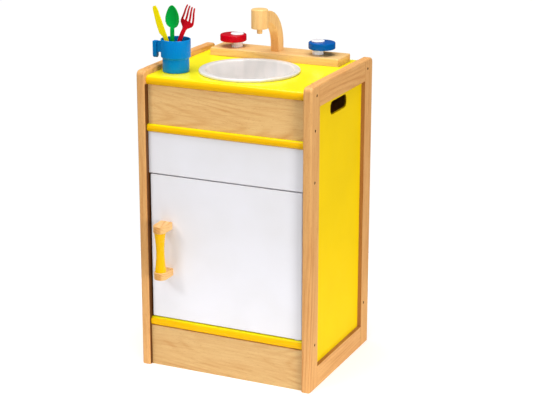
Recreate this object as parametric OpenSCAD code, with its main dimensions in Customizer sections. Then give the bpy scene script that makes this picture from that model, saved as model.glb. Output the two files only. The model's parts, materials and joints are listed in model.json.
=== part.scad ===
// Toy kitchen sink unit for young children, free-standing, with its cup and cutlery.
// +X is to the right, +Y to the back and +Z up.  The origin is on the floor, midway
// between the sides and midway between the door handle's front and the back of the posts.

/* [Cabinet] */
// Overall width across the two side frames
width = 364; // [344:2:400]
// Depth from the front to the back of the posts
depth = 305; // [300:1:330]
// Height of the side frames
height = 600; // [590:2:640]

/* [Side frames] */
// Thickness of the posts and rails
frame_t = 18; // [18:1:22]
// Width of the front posts
front_post_w = 38; // [38:1:44]
// Width of the back posts
back_post_w = 40; // [40:1:46]
// Height of the top rails
top_rail_h = 42; // [42:1:48]
// Height of the bottom rails
bottom_rail_h = 43; // [43:1:50]
// Radius of the rounded top corners
corner_r = 10; // [4:1:14]
// Thickness of the side panels
side_panel_t = 6; // [4:1:6]
// How far the side panels lie behind the outer faces of the frames
side_panel_recess = 8; // [5:1:8]
// How far the side panels go into their grooves
groove_depth = 8; // [5:1:8]

/* [Hand holes] */
// Length of the hand hole
hand_hole_l = 74; // [60:1:90]
// Height of the hand hole
hand_hole_h = 26; // [22:1:32]

/* [Worktop] */
// Thickness of the worktop
worktop_t = 18; // [18:1:22]
// How far the side frames stand above the worktop
frame_lip = 10; // [8:1:12]
// Distance from the post fronts to the worktop's front edge
worktop_setback = 5.5; // [4:0.5:8]
// Distance from the worktop's back edge to the post backs
worktop_back_gap = 1; // [1:1:8]

/* [Basin] */
// Radius of the basin's rim
basin_r = 98; // [90:1:100]
// Height of the rim above the worktop
basin_rim_h = 6; // [4:0.5:7]
// Depth of the bowl below the rim
basin_depth = 62; // [40:1:66]
// Distance from the post fronts to the basin's centre
basin_y = 121; // [118:1:124]
// Wall of the basin
basin_wall = 3; // [2.5:0.5:4]

/* [Taps] */
// Length of the ledge that carries the taps
ledge_w = 279; // [270:1:290]
// Sideways offset of the ledge from the middle
ledge_x = 1; // [-2:0.5:3]
// Depth of the ledge
ledge_d = 62; // [60:1:64]
// Thickness of the ledge
ledge_t = 16; // [16:1:18]
// Distance from the post fronts to the tap centres
tap_y = 254; // [252:1:258]
// Sideways offset of the spout and the taps from the middle
tap_x = -2.5; // [-4:0.5:2]
// Distance of each knob's peg from the spout
knob_x = 88; // [80:1:92]
// Radius of the knobs
knob_r = 26.5; // [24:0.5:28]
// Thickness of the knobs
knob_t = 13.6; // [12:0.2:15]
// Distance from the peg to the knob's centre
knob_offset = 8.5; // [0:0.5:10]
// Length of the white collar under each knob
collar_h = 11.7; // [9:0.1:14]

/* [Spout] */
// Thickness of the spout arm
arm_t = 18.6; // [17:0.1:20]
// Inner radius of the arm's bend
arm_inner_r = 52.4; // [50:0.1:56]
// Outer radius of the arm's bend
arm_outer_r = 76; // [74:0.5:80]
// Length of the arm's straight foot
arm_foot = 14; // [10:1:18]
// Radius of the spout's head
head_r = 16.3; // [15:0.1:18]
// Height of the spout's head
head_h = 38; // [34:1:40]
// Radius of the nozzle
nozzle_r = 5.3; // [4:0.1:6]
// Length of the nozzle
nozzle_l = 10; // [6:1:12]

/* [Front] */
// Height of the plinth
plinth_h = 83; // [80:1:90]
// Thickness of the bottom shelf
shelf_t = 17.5; // [16:0.5:19]
// Height of the joint between the door and the upper panel
door_top = 396.5; // [390:0.5:402]
// Height of the upper panel's top edge
upper_panel_top = 480; // [476:1:484]
// Height of the yellow batten above the upper panel
batten_h = 15; // [13:1:17]
// Thickness of the door and the upper panel
door_t = 16; // [15:1:17]
// Gap around the door
door_gap = 2.5; // [2:0.5:3]
// Distance from the post fronts to the door's face
door_setback = 10.5; // [9:0.5:12]
// Distance from the post fronts to the fascia's face
fascia_setback = 13.5; // [12:0.5:15]
// Thickness of the fascia
fascia_t = 12; // [10:1:14]
// Distance from the post fronts to the plinth's face
plinth_setback = 8; // [6:0.5:10]
// Thickness of the plinth
plinth_t = 18; // [15:1:20]
// Thickness of the back panel
back_panel_t = 6; // [4:1:8]

/* [Handle] */
// How far the handle stands out in front of the posts
handle_reach = 30; // [27:1:34]
// Distance from the middle of the cabinet to the handle's centre line
handle_x = 127.5; // [120:0.5:130]
// Height of the handle's middle
handle_z = 248.3; // [230:0.1:270]
// Length of the handle over its end blocks
handle_l = 110; // [100:1:120]
// Thickness of the end blocks
block_t = 15; // [13:1:17]
// Width of the end blocks
block_w = 26; // [24:1:28]
// Radius of the grip at its ends
grip_end_r = 11.4; // [10:0.1:12]
// Radius of the grip at its waist
grip_waist_r = 8.1; // [7:0.1:9]

/* [Cup and cutlery] */
// Distance of the cup from the middle of the cabinet
cup_x = 129.5; // [128:0.5:131]
// Distance from the post fronts to the cup's centre
cup_y = 64.5; // [60:0.5:68]
// Radius of the cup's foot
cup_foot_r = 25.7; // [25:0.1:26]
// Radius of the cup's upper part
cup_top_r = 28.8; // [28:0.1:29]
// Height of the cup
cup_h = 63.5; // [60:0.5:68]
// Wall of the cup
cup_wall = 2.2; // [1.8:0.1:2.4]
// Lean of the knife, to the left
knife_lean = 21; // [15:1:21]
// Lean of the fork, to the right
fork_lean = 22; // [15:1:22]

/* [Hidden] */
$fn = 64;
front_y = -(depth - handle_reach) / 2;
half_w = width / 2;
inner_x = half_w - frame_t;
worktop_top = height - frame_lip;
worktop_z = worktop_top - worktop_t;
shelf_top = plinth_h + shelf_t;
groove_x = half_w - side_panel_recess - side_panel_t;
rail_y = [front_post_w, depth - back_post_w];
back_panel_y = depth - 20;
batten_top = upper_panel_top + batten_h;
// Dowels that join each rail to its posts: 8 mm beech pegs.
dowel_r = 4;
dowel_half = 15;
dowel_x = half_w - frame_t / 2;
dowel_z = [9, bottom_rail_h - 16, height - top_rail_h + 13, height - 9];
// Assembly screws, driven through the posts into the edges of the boards.
screw_head_r = 2.3;
screw_thread_r = 1.8;
screw_sink = 2;
screw_bite = 26;
screw_front_y = 25;
screw_panel_y = 18.5;
screw_back_y = depth - 26;
worktop_screw_z = worktop_z + worktop_t / 2;
shelf_screw_z = plinth_h + shelf_t / 2;
fascia_screw_z = 516;
panel_screw_z = 417;
SCREWS = [
    [screw_front_y, worktop_screw_z],
    [screw_back_y, worktop_screw_z],
    [screw_panel_y, fascia_screw_z],
    [screw_panel_y, panel_screw_z],
    [screw_front_y, shelf_screw_z],
    [screw_back_y, shelf_screw_z]
];
// Hand hole: a slot with rounded corners close under the top rail.
hand_hole_y = 146;
hand_hole_z = 537;
hand_hole_r = 10;
// Basin: the bowl hangs in the worktop's cut-out with room around it.
bowl_top_r = basin_r - 9;
bowl_bottom_r = bowl_top_r - 22;
cutout_r = bowl_top_r + 1.5;
basin_top = worktop_top + basin_rim_h;
// Taps and spout.
ledge_y = tap_y - ledge_d / 2 + 4;
ledge_top = worktop_top + ledge_t;
peg_r = 5;
peg_cap_r = 13;
peg_cap_t = 2.3;
peg_sink = 11;
collar_r = 11.2;
axial_play = 0.3;
running = 0.08;
knob_z = ledge_top + collar_h + axial_play;
knob_top = knob_z + knob_t;
arm_w = arm_outer_r - arm_inner_r;
bend_y = tap_y - (arm_inner_r + arm_outer_r) / 2;
bend_z = ledge_top + arm_foot;
head_y = bend_y - head_r - 1.5;
head_z = bend_z + (arm_inner_r + arm_outer_r) / 2 - head_h / 2 - 0.6;
axle_r = 5;
axle_grip = 20;
washer_r = 11;
washer_t = 2;
ledge_screw_x = [-118, 0, 118];
ledge_screw_y = tap_y - 20;
// Door, hung on two pivot pins set into its top and bottom edges.
door_half_w = inner_x - 3;
door_z = shelf_top + door_gap;
door_y = [door_setback, door_setback + door_t];
pivot_x = inner_x - 15;
pivot_y = door_setback + door_t / 2;
pin_r = 2.5;
pin_half = 16;
hinge_chamfer = 2.5;
spacer_r = 6;
catch_x = -60;
catch_w = 36;
catch_h = 32;
catch_d = 15;
strike_w = 30;
strike_h = 14;
strike_t = 1;
catch_gap = 0.4;
// Handle.
grip_y = block_w / 2 - handle_reach;
block_z = [handle_z - handle_l / 2, handle_z + handle_l / 2 - block_t];
grip_z = [block_z[0] + block_t, block_z[1]];
spigot_r = 4.5;
spigot_l = 8;
handle_screw_r = 2;
handle_screw_head_r = 4;
handle_screw_end = -2;
// Cup and cutlery.
cup_step_z = 29.5;
cup_floor = 2.6;
cup_handle_x = 48;
cup_hook_t = 8.5;
cup_hook_w = 10;
cup_hook_l = 32.5;
cup_web_t = 5;
cup_web_l = 21.5;
cup_hook_drop = 7;
utensil_t = 3;
utensil_z = worktop_top + cup_floor + 1.2;
row_gap = 7.5;
knife_l = 130;
spoon_l = 123.5;
fork_l = 134;

// Moves a piece from the post-front datum to the part's origin.
module place() {
    translate([0, front_y, 0]) children();
}

// Puts a right-hand piece on the chosen side: 1 is right, -1 is left.
module on_side(side) {
    if (side > 0) children();
    else mirror([1, 0, 0]) children();
}

// A square-edged board from its two extents along each axis.
module board(x, y, z) {
    translate([x[0], y[0], z[0]]) cube([x[1] - x[0], y[1] - y[0], z[1] - z[0]]);
}

// A round rod or hole along X, from x[0] to x[1].
module rod_x(r, x, y, z) {
    translate([x[0], y, z]) rotate([0, 90, 0]) cylinder(r = r, h = x[1] - x[0]);
}

// A round rod or hole along Y, from y[0] to y[1].
module rod_y(r, x, y, z) {
    translate([x, y[0], z]) rotate([-90, 0, 0]) cylinder(r = r, h = y[1] - y[0]);
}

// A round rod or hole along Z, from z[0] to z[1].
module rod_z(r, x, y, z) {
    translate([x, y, z[0]]) cylinder(r = r, h = z[1] - z[0]);
}

// An outline in Y and Z, given thickness along X from x[0] to x[1].
module slab_yz(x) {
    translate([x[0], 0, 0]) rotate([90, 0, 90]) linear_extrude(x[1] - x[0]) children();
}

// The waste outside a quarter-round corner of radius r, in the +X +Y quarter.
module corner_waste(r) {
    difference() {
        square(r + 1);
        circle(r);
    }
}

// The four dowels, two for each rail, at one end of the rails of the right-hand frame.
module dowels_at(y) {
    for (z = dowel_z) {
        translate([dowel_x, y - dowel_half, z]) rotate([-90, 0, 0]) cylinder(r = dowel_r, h = 2 * dowel_half);
    }
}

// One assembly screw, pointing from the right-hand frame into the cabinet.
module frame_screw(y, z) {
    difference() {
        union() {
            rod_x(screw_head_r, [inner_x, half_w - screw_sink], y, z);
            rod_x(screw_thread_r, [inner_x - screw_bite, inner_x], y, z);
        }
        translate([half_w - screw_sink - 2, y, z]) rotate([0, 90, 0]) cylinder(r = 1.3, h = 3, $fn = 6);
    }
}

// Clearance holes for the screws that pass through a right-hand post.
module post_screw_holes() {
    for (s = SCREWS) {
        rod_x(screw_head_r, [inner_x - 1, half_w + 1], s[0], s[1]);
    }
}

// Pilot holes in both ends of a board, for one screw position.
module pilot_holes(y, z) {
    for (side = [-1, 1]) {
        on_side(side) rod_x(screw_thread_r, [inner_x - screw_bite, inner_x + 1], y, z);
    }
}

// A post with one rounded top corner, at its front or at its back.
module post(y, corner_at_front) {
    corner_y = corner_at_front ? y[0] + corner_r : y[1] - corner_r;
    difference() {
        board([inner_x, half_w], y, [0, height]);
        slab_yz([inner_x - 1, half_w + 1]) translate([corner_y, height - corner_r])
            mirror([corner_at_front ? 1 : 0, 0]) corner_waste(corner_r);
        panel_groove();
        post_screw_holes();
        dowels_at(rail_y[0]);
        dowels_at(rail_y[1]);
    }
}

// The groove around the opening of a side frame, which is also the side panel's blank.
module panel_groove() {
    board(
        [groove_x, groove_x + side_panel_t],
        [rail_y[0] - groove_depth, rail_y[1] + groove_depth],
        [bottom_rail_h - groove_depth, height - top_rail_h + groove_depth]
    );
}

module rail(z) {
    difference() {
        board([inner_x, half_w], rail_y, z);
        panel_groove();
        dowels_at(rail_y[0]);
        dowels_at(rail_y[1]);
    }
}

module front_post(side) {
    color("burlywood") place() on_side(side) post([0, front_post_w], true);
}

module back_post(side) {
    color("burlywood") place() on_side(side) post([depth - back_post_w, depth], false);
}

module top_rail(side) {
    color("burlywood") place() on_side(side) rail([height - top_rail_h, height]);
}

module bottom_rail(side) {
    color("burlywood") place() on_side(side) rail([0, bottom_rail_h]);
}

// The slot outline of the hand hole, with rounded corners.
module hand_hole_outline() {
    square([hand_hole_l - 2 * hand_hole_r, hand_hole_h], center = true);
    square([hand_hole_l, hand_hole_h - 2 * hand_hole_r], center = true);
    for (y = [-1, 1], z = [-1, 1]) {
        translate([y * (hand_hole_l / 2 - hand_hole_r), z * (hand_hole_h / 2 - hand_hole_r)]) circle(hand_hole_r);
    }
}

module side_panel(side) {
    color("gold") place() on_side(side) difference() {
        panel_groove();
        slab_yz([groove_x - 1, groove_x + side_panel_t + 1])
            translate([hand_hole_y, hand_hole_z]) hand_hole_outline();
    }
}

module dowels(side) {
    color("tan") place() on_side(side) {
        dowels_at(rail_y[0]);
        dowels_at(rail_y[1]);
    }
}

module frame_screws(side) {
    color("dimgray") place() on_side(side) {
        for (s = SCREWS) {
            frame_screw(s[0], s[1]);
        }
    }
}

// A board between the side frames with a half-round front edge.
module round_fronted_board(y, z) {
    r = (z[1] - z[0]) / 2;
    board([-inner_x, inner_x], [y[0] + r, y[1]], z);
    rod_x(r, [-inner_x, inner_x], y[0] + r, z[0] + r);
}

module worktop() {
    color("gold") place() difference() {
        board([-inner_x, inner_x], [worktop_setback, depth - worktop_back_gap], [worktop_z, worktop_top]);
        rod_z(cutout_r, 0, basin_y, [worktop_z - 1, worktop_top + 1]);
        rod_z(axle_r + running, tap_x, tap_y, [worktop_z - 1, worktop_top + 1]);
        pilot_holes(screw_front_y, worktop_screw_z);
        pilot_holes(screw_back_y, worktop_screw_z);
        for (x = ledge_screw_x) {
            rod_z(screw_head_r, x, ledge_screw_y, [worktop_z - 1, worktop_top + 1]);
        }
    }
}

// Half section of the basin: rolled rim, sloping bowl and flat floor.
module basin_section() {
    difference() {
        union() {
            translate([bowl_top_r - basin_wall, basin_rim_h / 2]) square([basin_r - bowl_top_r, basin_rim_h / 2]);
            translate([bowl_top_r - basin_wall, 0]) square([basin_r - bowl_top_r + basin_wall, basin_rim_h / 2]);
            translate([basin_r - basin_rim_h / 2, basin_rim_h / 2]) circle(basin_rim_h / 2);
            polygon([
                [0, basin_rim_h - basin_depth - basin_wall],
                [bowl_bottom_r, basin_rim_h - basin_depth - basin_wall],
                [bowl_top_r, 0],
                [bowl_top_r, basin_rim_h],
                [0, basin_rim_h]
            ]);
        }
        polygon([
            [-1, basin_rim_h - basin_depth],
            [bowl_bottom_r - basin_wall, basin_rim_h - basin_depth],
            [bowl_top_r - basin_wall, 0],
            [bowl_top_r - basin_wall, basin_rim_h + 1],
            [-1, basin_rim_h + 1]
        ]);
    }
}

module basin() {
    color("white") place() translate([0, basin_y, worktop_top]) rotate_extrude($fn = 96) basin_section();
}

module tap_ledge() {
    color("burlywood") place() difference() {
        board([ledge_x - ledge_w / 2, ledge_x + ledge_w / 2], [ledge_y, ledge_y + ledge_d], [worktop_top, ledge_top]);
        rod_z(axle_r + running, tap_x, tap_y, [worktop_top - 1, ledge_top + 1]);
        for (x = [tap_x - knob_x, tap_x + knob_x]) {
            rod_z(peg_r, x, tap_y, [ledge_top - peg_sink, ledge_top + 1]);
        }
        for (x = ledge_screw_x) {
            rod_z(screw_thread_r, x, ledge_screw_y, [worktop_top - 1, ledge_top - 4]);
        }
    }
}

module ledge_screws() {
    color("dimgray") place() {
        for (x = ledge_screw_x) {
            rod_z(screw_thread_r, x, ledge_screw_y, [worktop_top, ledge_top - 4]);
            rod_z(screw_head_r, x, ledge_screw_y, [worktop_z, worktop_top]);
            rod_z(2 * screw_head_r, x, ledge_screw_y, [worktop_z - 2.5, worktop_z]);
        }
    }
}

// Side outline of the arm: a straight foot and a quarter bend towards the front.
module arm_outline() {
    translate([bend_y + arm_inner_r, ledge_top]) square([arm_w, arm_foot]);
    translate([bend_y, bend_z]) difference() {
        circle(arm_outer_r, $fn = 96);
        circle(arm_inner_r, $fn = 96);
        translate([-2 * arm_outer_r, -arm_outer_r]) square([2 * arm_outer_r, 3 * arm_outer_r]);
        translate([-arm_outer_r, -2 * arm_outer_r]) square([3 * arm_outer_r, 2 * arm_outer_r]);
    }
    translate([head_y, bend_z + arm_inner_r]) square([bend_y - head_y, arm_w]);
}

module spout_arm() {
    color("burlywood") place() difference() {
        slab_yz([tap_x - arm_t / 2, tap_x + arm_t / 2]) arm_outline();
        rod_z(head_r, tap_x, head_y, [head_z - 1, head_z + head_h + 1]);
        rod_z(axle_r, tap_x, tap_y, [ledge_top - 1, ledge_top + axle_grip]);
    }
}

module spout_head() {
    color("wheat") place() difference() {
        rod_z(head_r, tap_x, head_y, [head_z, head_z + head_h]);
        rod_z(nozzle_r, tap_x, head_y, [head_z - 1, head_z + nozzle_l]);
    }
}

module spout_nozzle() {
    color("tan") place() rod_z(nozzle_r, tap_x, head_y, [head_z - nozzle_l, head_z + nozzle_l]);
}

module spout_axle() {
    color("tan") place() rod_z(axle_r, tap_x, tap_y, [worktop_z - 4, ledge_top + axle_grip]);
}

module spout_washer() {
    color("silver") place() difference() {
        rod_z(washer_r, tap_x, tap_y, [worktop_z - washer_t - axial_play, worktop_z - axial_play]);
        rod_z(axle_r, tap_x, tap_y, [worktop_z - washer_t - 1, worktop_z]);
    }
}

module knob(side, shade) {
    color(shade) place() difference() {
        rod_z(knob_r, tap_x + side * (knob_x + knob_offset), tap_y, [knob_z, knob_top]);
        rod_z(peg_r + running, tap_x + side * knob_x, tap_y, [knob_z - 1, knob_top + 1]);
    }
}

module collar(side) {
    color("white") place() difference() {
        rod_z(collar_r, tap_x + side * knob_x, tap_y, [ledge_top, ledge_top + collar_h]);
        rod_z(peg_r, tap_x + side * knob_x, tap_y, [ledge_top - 1, ledge_top + collar_h + 1]);
    }
}

module peg(side) {
    color("white") place() {
        rod_z(peg_r, tap_x + side * knob_x, tap_y, [ledge_top - peg_sink, knob_top + axial_play]);
        rod_z(peg_cap_r, tap_x + side * knob_x, tap_y, [knob_top + axial_play, knob_top + axial_play + peg_cap_t]);
    }
}

module fascia() {
    color("burlywood") place() difference() {
        board([-inner_x, inner_x], [fascia_setback, fascia_setback + fascia_t], [batten_top, worktop_z]);
        pilot_holes(screw_panel_y, fascia_screw_z);
    }
}

module front_batten() {
    color("gold") place()
        round_fronted_board([worktop_setback, fascia_setback + fascia_t], [upper_panel_top, batten_top]);
}

module upper_panel() {
    color("white") place() difference() {
        board([-inner_x, inner_x], door_y, [door_top + door_gap / 2, upper_panel_top]);
        pilot_holes(screw_panel_y, panel_screw_z);
        rod_z(pin_r, pivot_x, pivot_y, [door_top, door_top + pin_half]);
        catch_screw_shanks();
    }
}

module bottom_shelf() {
    color("gold") place() difference() {
        round_fronted_board([worktop_setback, back_panel_y], [plinth_h, shelf_top]);
        pilot_holes(screw_front_y, shelf_screw_z);
        pilot_holes(screw_back_y, shelf_screw_z);
        rod_z(pin_r, pivot_x, pivot_y, [shelf_top - pin_half + 2, shelf_top + 1]);
    }
}

module plinth() {
    color("burlywood") place()
        board([-inner_x, inner_x], [plinth_setback, plinth_setback + plinth_t], [0, plinth_h]);
}

module back_panel() {
    color("wheat") place()
        board([-inner_x, inner_x], [back_panel_y, back_panel_y + back_panel_t], [plinth_h, worktop_z]);
}

// Plan of the door, with its hinge edge chamfered so that it swings clear of the post.
module door_plan() {
    polygon([
        [-door_half_w, door_y[0]],
        [door_half_w - hinge_chamfer, door_y[0]],
        [door_half_w, door_y[0] + hinge_chamfer],
        [door_half_w, door_y[1] - hinge_chamfer],
        [door_half_w - hinge_chamfer, door_y[1]],
        [-door_half_w, door_y[1]]
    ]);
}

module door() {
    color("white") place() difference() {
        translate([0, 0, door_z]) linear_extrude(door_top - door_gap / 2 - door_z) door_plan();
        rod_z(pin_r + running, pivot_x, pivot_y, [door_z - 1, door_z + pin_half]);
        rod_z(pin_r + running, pivot_x, pivot_y, [door_top - pin_half, door_top]);
        handle_screw_pair();
    }
}

module door_pivot_pins() {
    color("silver") place() {
        rod_z(pin_r, pivot_x, pivot_y, [shelf_top - pin_half + 2, door_z + pin_half - 2]);
        rod_z(pin_r, pivot_x, pivot_y, [door_top - pin_half + 2, door_top + pin_half]);
    }
}

module door_spacer() {
    color("white") place() difference() {
        rod_z(spacer_r, pivot_x, pivot_y, [shelf_top, door_z - axial_play]);
        rod_z(pin_r, pivot_x, pivot_y, [shelf_top - 1, door_z + 1]);
    }
}

// Shanks of the two screws that hold the catch to the upper panel.
module catch_screw_shanks() {
    for (x = [-1, 1]) {
        rod_y(1.5, catch_x + x * 12, [door_y[1] - 10, door_y[1] + 4], door_top + 14);
    }
}

module magnetic_catch() {
    z = [door_top + 24 - catch_h, door_top + 24];
    color("ghostwhite") place() difference() {
        board([catch_x - catch_w / 2, catch_x + catch_w / 2], [door_y[1], door_y[1] + catch_d], z);
        board(
            [catch_x - catch_w, catch_x + catch_w],
            [door_y[1] - 1, door_y[1] + strike_t + catch_gap],
            [z[0] - 1, door_top + door_gap / 2]
        );
        catch_screw_shanks();
        for (x = [-1, 1]) {
            rod_y(3, catch_x + x * 12, [door_y[1] + 4, door_y[1] + catch_d + 1], door_top + 14);
        }
    }
}

module catch_screws() {
    color("silver") place() {
        catch_screw_shanks();
        for (x = [-1, 1]) {
            rod_y(3, catch_x + x * 12, [door_y[1] + 4, door_y[1] + 6.5], door_top + 14);
        }
    }
}

module strike_plate() {
    color("silver") place() board(
        [catch_x - strike_w / 2, catch_x + strike_w / 2],
        [door_y[1], door_y[1] + strike_t],
        [door_top - door_gap / 2 - 1 - strike_h, door_top - door_gap / 2 - 1]
    );
}

// The two screws that hold the handle's blocks, from the back of the door.
module handle_screw_pair() {
    for (z = block_z) {
        rod_y(handle_screw_r, -handle_x, [handle_screw_end, door_y[1]], z + block_t / 2);
        translate([-handle_x, door_y[1] - handle_screw_head_r, z + block_t / 2]) rotate([-90, 0, 0])
            cylinder(r1 = 0.1, r2 = handle_screw_head_r, h = handle_screw_head_r);
    }
}

// Plan of an end block: straight sides and a round front.
module block_plan() {
    translate([-handle_x, grip_y]) circle(block_w / 2);
    translate([-handle_x - block_w / 2, grip_y]) square([block_w, door_y[0] - grip_y]);
}

module handle_block(z, spigot) {
    color("burlywood") place() difference() {
        translate([0, 0, z]) linear_extrude(block_t) block_plan();
        rod_z(spigot_r, -handle_x, grip_y, spigot);
        handle_screw_pair();
    }
}

// Half section of the turned grip, waisted along a circular arc, with a spigot at each end.
module grip_section() {
    half = (grip_z[1] - grip_z[0]) / 2;
    sag = grip_end_r - grip_waist_r;
    arc_r = (half * half + sag * sag) / (2 * sag);
    difference() {
        translate([0, -half]) square([grip_end_r, 2 * half]);
        translate([grip_waist_r + arc_r, 0]) circle(arc_r, $fn = 360);
    }
    translate([0, -half - spigot_l]) square([spigot_r, 2 * (half + spigot_l)]);
}

module handle_grip() {
    color("gold") place() translate([-handle_x, grip_y, handle_z]) rotate_extrude() grip_section();
}

module handle_screws() {
    color("silver") place() handle_screw_pair();
}

// Half section of the cup: a narrower foot, a step and a wider upper part.
module cup_section() {
    difference() {
        union() {
            square([cup_foot_r, cup_step_z]);
            polygon([
                [0, cup_step_z - 3], [cup_foot_r, cup_step_z - 3], [cup_top_r, cup_step_z],
                [cup_top_r, cup_h], [0, cup_h]
            ]);
        }
        polygon([
            [-1, cup_floor], [cup_foot_r - cup_wall, cup_floor], [cup_foot_r - cup_wall, cup_step_z - 3],
            [cup_top_r - cup_wall, cup_step_z], [cup_top_r - cup_wall, cup_h + 1], [-1, cup_h + 1]
        ]);
    }
}

// The cup's open hook handle: a web near the rim and a bar that hangs from it.
module cup_handle() {
    bar_x = [-cup_handle_x, -cup_handle_x + cup_hook_t];
    top = cup_h - cup_hook_drop;
    end_z = top - cup_hook_l + cup_hook_w / 2;
    board([bar_x[0], -cup_top_r + cup_wall / 2], [-cup_web_t / 2, cup_web_t / 2], [top - cup_web_l, top]);
    board(bar_x, [-cup_hook_w / 2, cup_hook_w / 2], [end_z, top]);
    rod_x(cup_hook_w / 2, bar_x, 0, end_z);
}

module cup() {
    color("dodgerblue") place() translate([-cup_x, cup_y, worktop_top]) {
        rotate_extrude() cup_section();
        cup_handle();
    }
}

// Stands a flat utensil in the cup: its outline is drawn upright in X and Z.
module in_cup(x, row, lean) {
    place() translate([-cup_x + x, cup_y + row * row_gap + utensil_t / 2, utensil_z])
        rotate([0, lean, 0]) rotate([90, 0, 0]) linear_extrude(utensil_t) children();
}

// An egg-shaped outline with half width a and half height b, wider towards the bottom.
module egg(a, b, fullness) {
    polygon([for (t = [0:10:350]) [-a * (1 - fullness * cos(t)) * sin(t), b * cos(t)]]);
}

module knife() {
    color("yellow") in_cup(6, -1, -knife_lean) {
        polygon([
            [-3.4, 0], [3.4, 0], [4, 40], [4, knife_l - 7], [2, knife_l - 1], [-3, knife_l], [-5, knife_l - 4],
            [-8.6, knife_l - 34], [-9, knife_l - 50], [-6.5, knife_l - 56], [-4, knife_l - 61], [-4, 40]
        ]);
    }
}

module spoon() {
    color("green") in_cup(-7, 0, 0) {
        polygon([[-3, 0], [3, 0], [4.2, 44], [4.2, spoon_l - 35], [-4.2, spoon_l - 35], [-4.2, 44]]);
        translate([0, spoon_l - 22]) egg(14, 22, 0.28);
    }
}

module fork() {
    palm = fork_l - 33;
    color("red") in_cup(-17.5, 1, fork_lean) {
        polygon([
            [-3, 0], [3, 0], [4, 50], [4, palm - 18], [6, palm - 14], [9.5, palm - 11], [12.5, palm - 8],
            [13.6, palm - 4], [13.4, palm], [-13.4, palm], [-13.6, palm - 4], [-12.5, palm - 8],
            [-9.5, palm - 11], [-6, palm - 14], [-4, palm - 18], [-4, 50]
        ]);
        for (i = [-1.5:1:1.5]) {
            polygon([
                [i * 7.8 - 1.7, palm - 1], [i * 7.8 + 1.7, palm - 1],
                [i * 5.4 + 1.1, fork_l], [i * 5.4 - 1.1, fork_l]
            ]);
        }
    }
}

front_post(-1);  // left_front_post
back_post(-1);  // left_back_post
top_rail(-1);  // left_top_rail
bottom_rail(-1);  // left_bottom_rail
side_panel(-1);  // left_side_panel
dowels(-1);  // left_dowels
frame_screws(-1);  // left_frame_screws
front_post(1);  // right_front_post
back_post(1);  // right_back_post
top_rail(1);  // right_top_rail
bottom_rail(1);  // right_bottom_rail
side_panel(1);  // right_side_panel
dowels(1);  // right_dowels
frame_screws(1);  // right_frame_screws
worktop();
basin();
tap_ledge();
ledge_screws();
spout_arm();
spout_head();
spout_nozzle();
spout_axle();
spout_washer();
knob(-1, "crimson");  // hot_knob
collar(-1);  // hot_collar
peg(-1);  // hot_peg
knob(1, "royalblue");  // cold_knob
collar(1);  // cold_collar
peg(1);  // cold_peg
fascia();
front_batten();
upper_panel();
bottom_shelf();
plinth();
back_panel();
door();
door_pivot_pins();
door_spacer();
magnetic_catch();
catch_screws();
strike_plate();
handle_block(block_z[1], [block_z[1] - 1, block_z[1] + spigot_l]);  // handle_upper_block
handle_block(block_z[0], [block_z[0] + block_t - spigot_l, block_z[0] + block_t + 1]);  // handle_lower_block
handle_grip();
handle_screws();
cup();
knife();
spoon();
fork();
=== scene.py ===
"""Finished pieces, materials and stage of a toy kitchen sink unit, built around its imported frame."""

import json
import math

import bmesh
import bpy
from mathutils import Matrix, Vector

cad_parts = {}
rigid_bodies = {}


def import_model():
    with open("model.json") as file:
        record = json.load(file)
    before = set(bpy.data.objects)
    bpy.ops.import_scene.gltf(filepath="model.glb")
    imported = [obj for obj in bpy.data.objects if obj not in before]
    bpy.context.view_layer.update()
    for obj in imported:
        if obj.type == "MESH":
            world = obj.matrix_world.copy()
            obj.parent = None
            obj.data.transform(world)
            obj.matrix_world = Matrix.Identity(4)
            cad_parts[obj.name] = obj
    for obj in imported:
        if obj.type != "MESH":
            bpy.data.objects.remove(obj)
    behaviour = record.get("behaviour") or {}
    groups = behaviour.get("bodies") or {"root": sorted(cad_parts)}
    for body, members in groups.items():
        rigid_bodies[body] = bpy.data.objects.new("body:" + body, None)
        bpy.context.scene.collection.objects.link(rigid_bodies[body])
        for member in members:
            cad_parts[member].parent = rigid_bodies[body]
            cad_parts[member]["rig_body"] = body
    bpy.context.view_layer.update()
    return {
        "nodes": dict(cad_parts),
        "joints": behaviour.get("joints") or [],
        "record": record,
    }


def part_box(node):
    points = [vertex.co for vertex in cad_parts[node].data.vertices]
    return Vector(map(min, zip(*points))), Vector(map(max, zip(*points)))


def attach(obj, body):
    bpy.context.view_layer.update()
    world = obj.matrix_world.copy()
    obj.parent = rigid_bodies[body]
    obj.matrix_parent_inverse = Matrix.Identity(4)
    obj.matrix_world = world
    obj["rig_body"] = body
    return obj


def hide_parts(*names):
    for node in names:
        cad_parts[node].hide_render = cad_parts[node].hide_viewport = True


bl_info = {
    "name": "Toy Kitchen Sink Unit",
    "version": (1, 0, 0),
    "blender": (4, 5, 0),
    "location": "3D View > Sidebar > Toy Kitchen",
    "description": "Builds the finished pieces, materials and stage of a wooden play sink",
    "category": "Object",
}

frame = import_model()
NODES = frame["nodes"]
JOINT = {j["name"]: j for j in frame["joints"]}
MM = 0.001
NEAR = 0.01 * MM  # lengths this close are the same
HAIR = 0.05 * MM  # left between two arcs that meet, or a screw's head and its hole
EASE_UNIT = 10 * MM  # the edge radius that a bevel weight of 1 stands for
SCREW_HOLE_R = 3 * MM
PEG_R = 5 * MM
AXLE_GAP = 0.1 * MM
FLOOR_RADIUS = 1.1

# Tints of painted shade: on faces that look forward (on the handle blocks these are also end grain), on
# faces inside a recess, and deepest on the front posts' inner faces beside the cupboard, where the door's
# edge shades them.
PAINTED_FRONT_SHADE = (0.86, 0.68, 0.48, 1)
PAINTED_RECESS_SHADE = (0.52, 0.42, 0.34, 1)
PAINTED_DEEP_SHADE = (0.16, 0.10, 0.05, 1)

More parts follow.
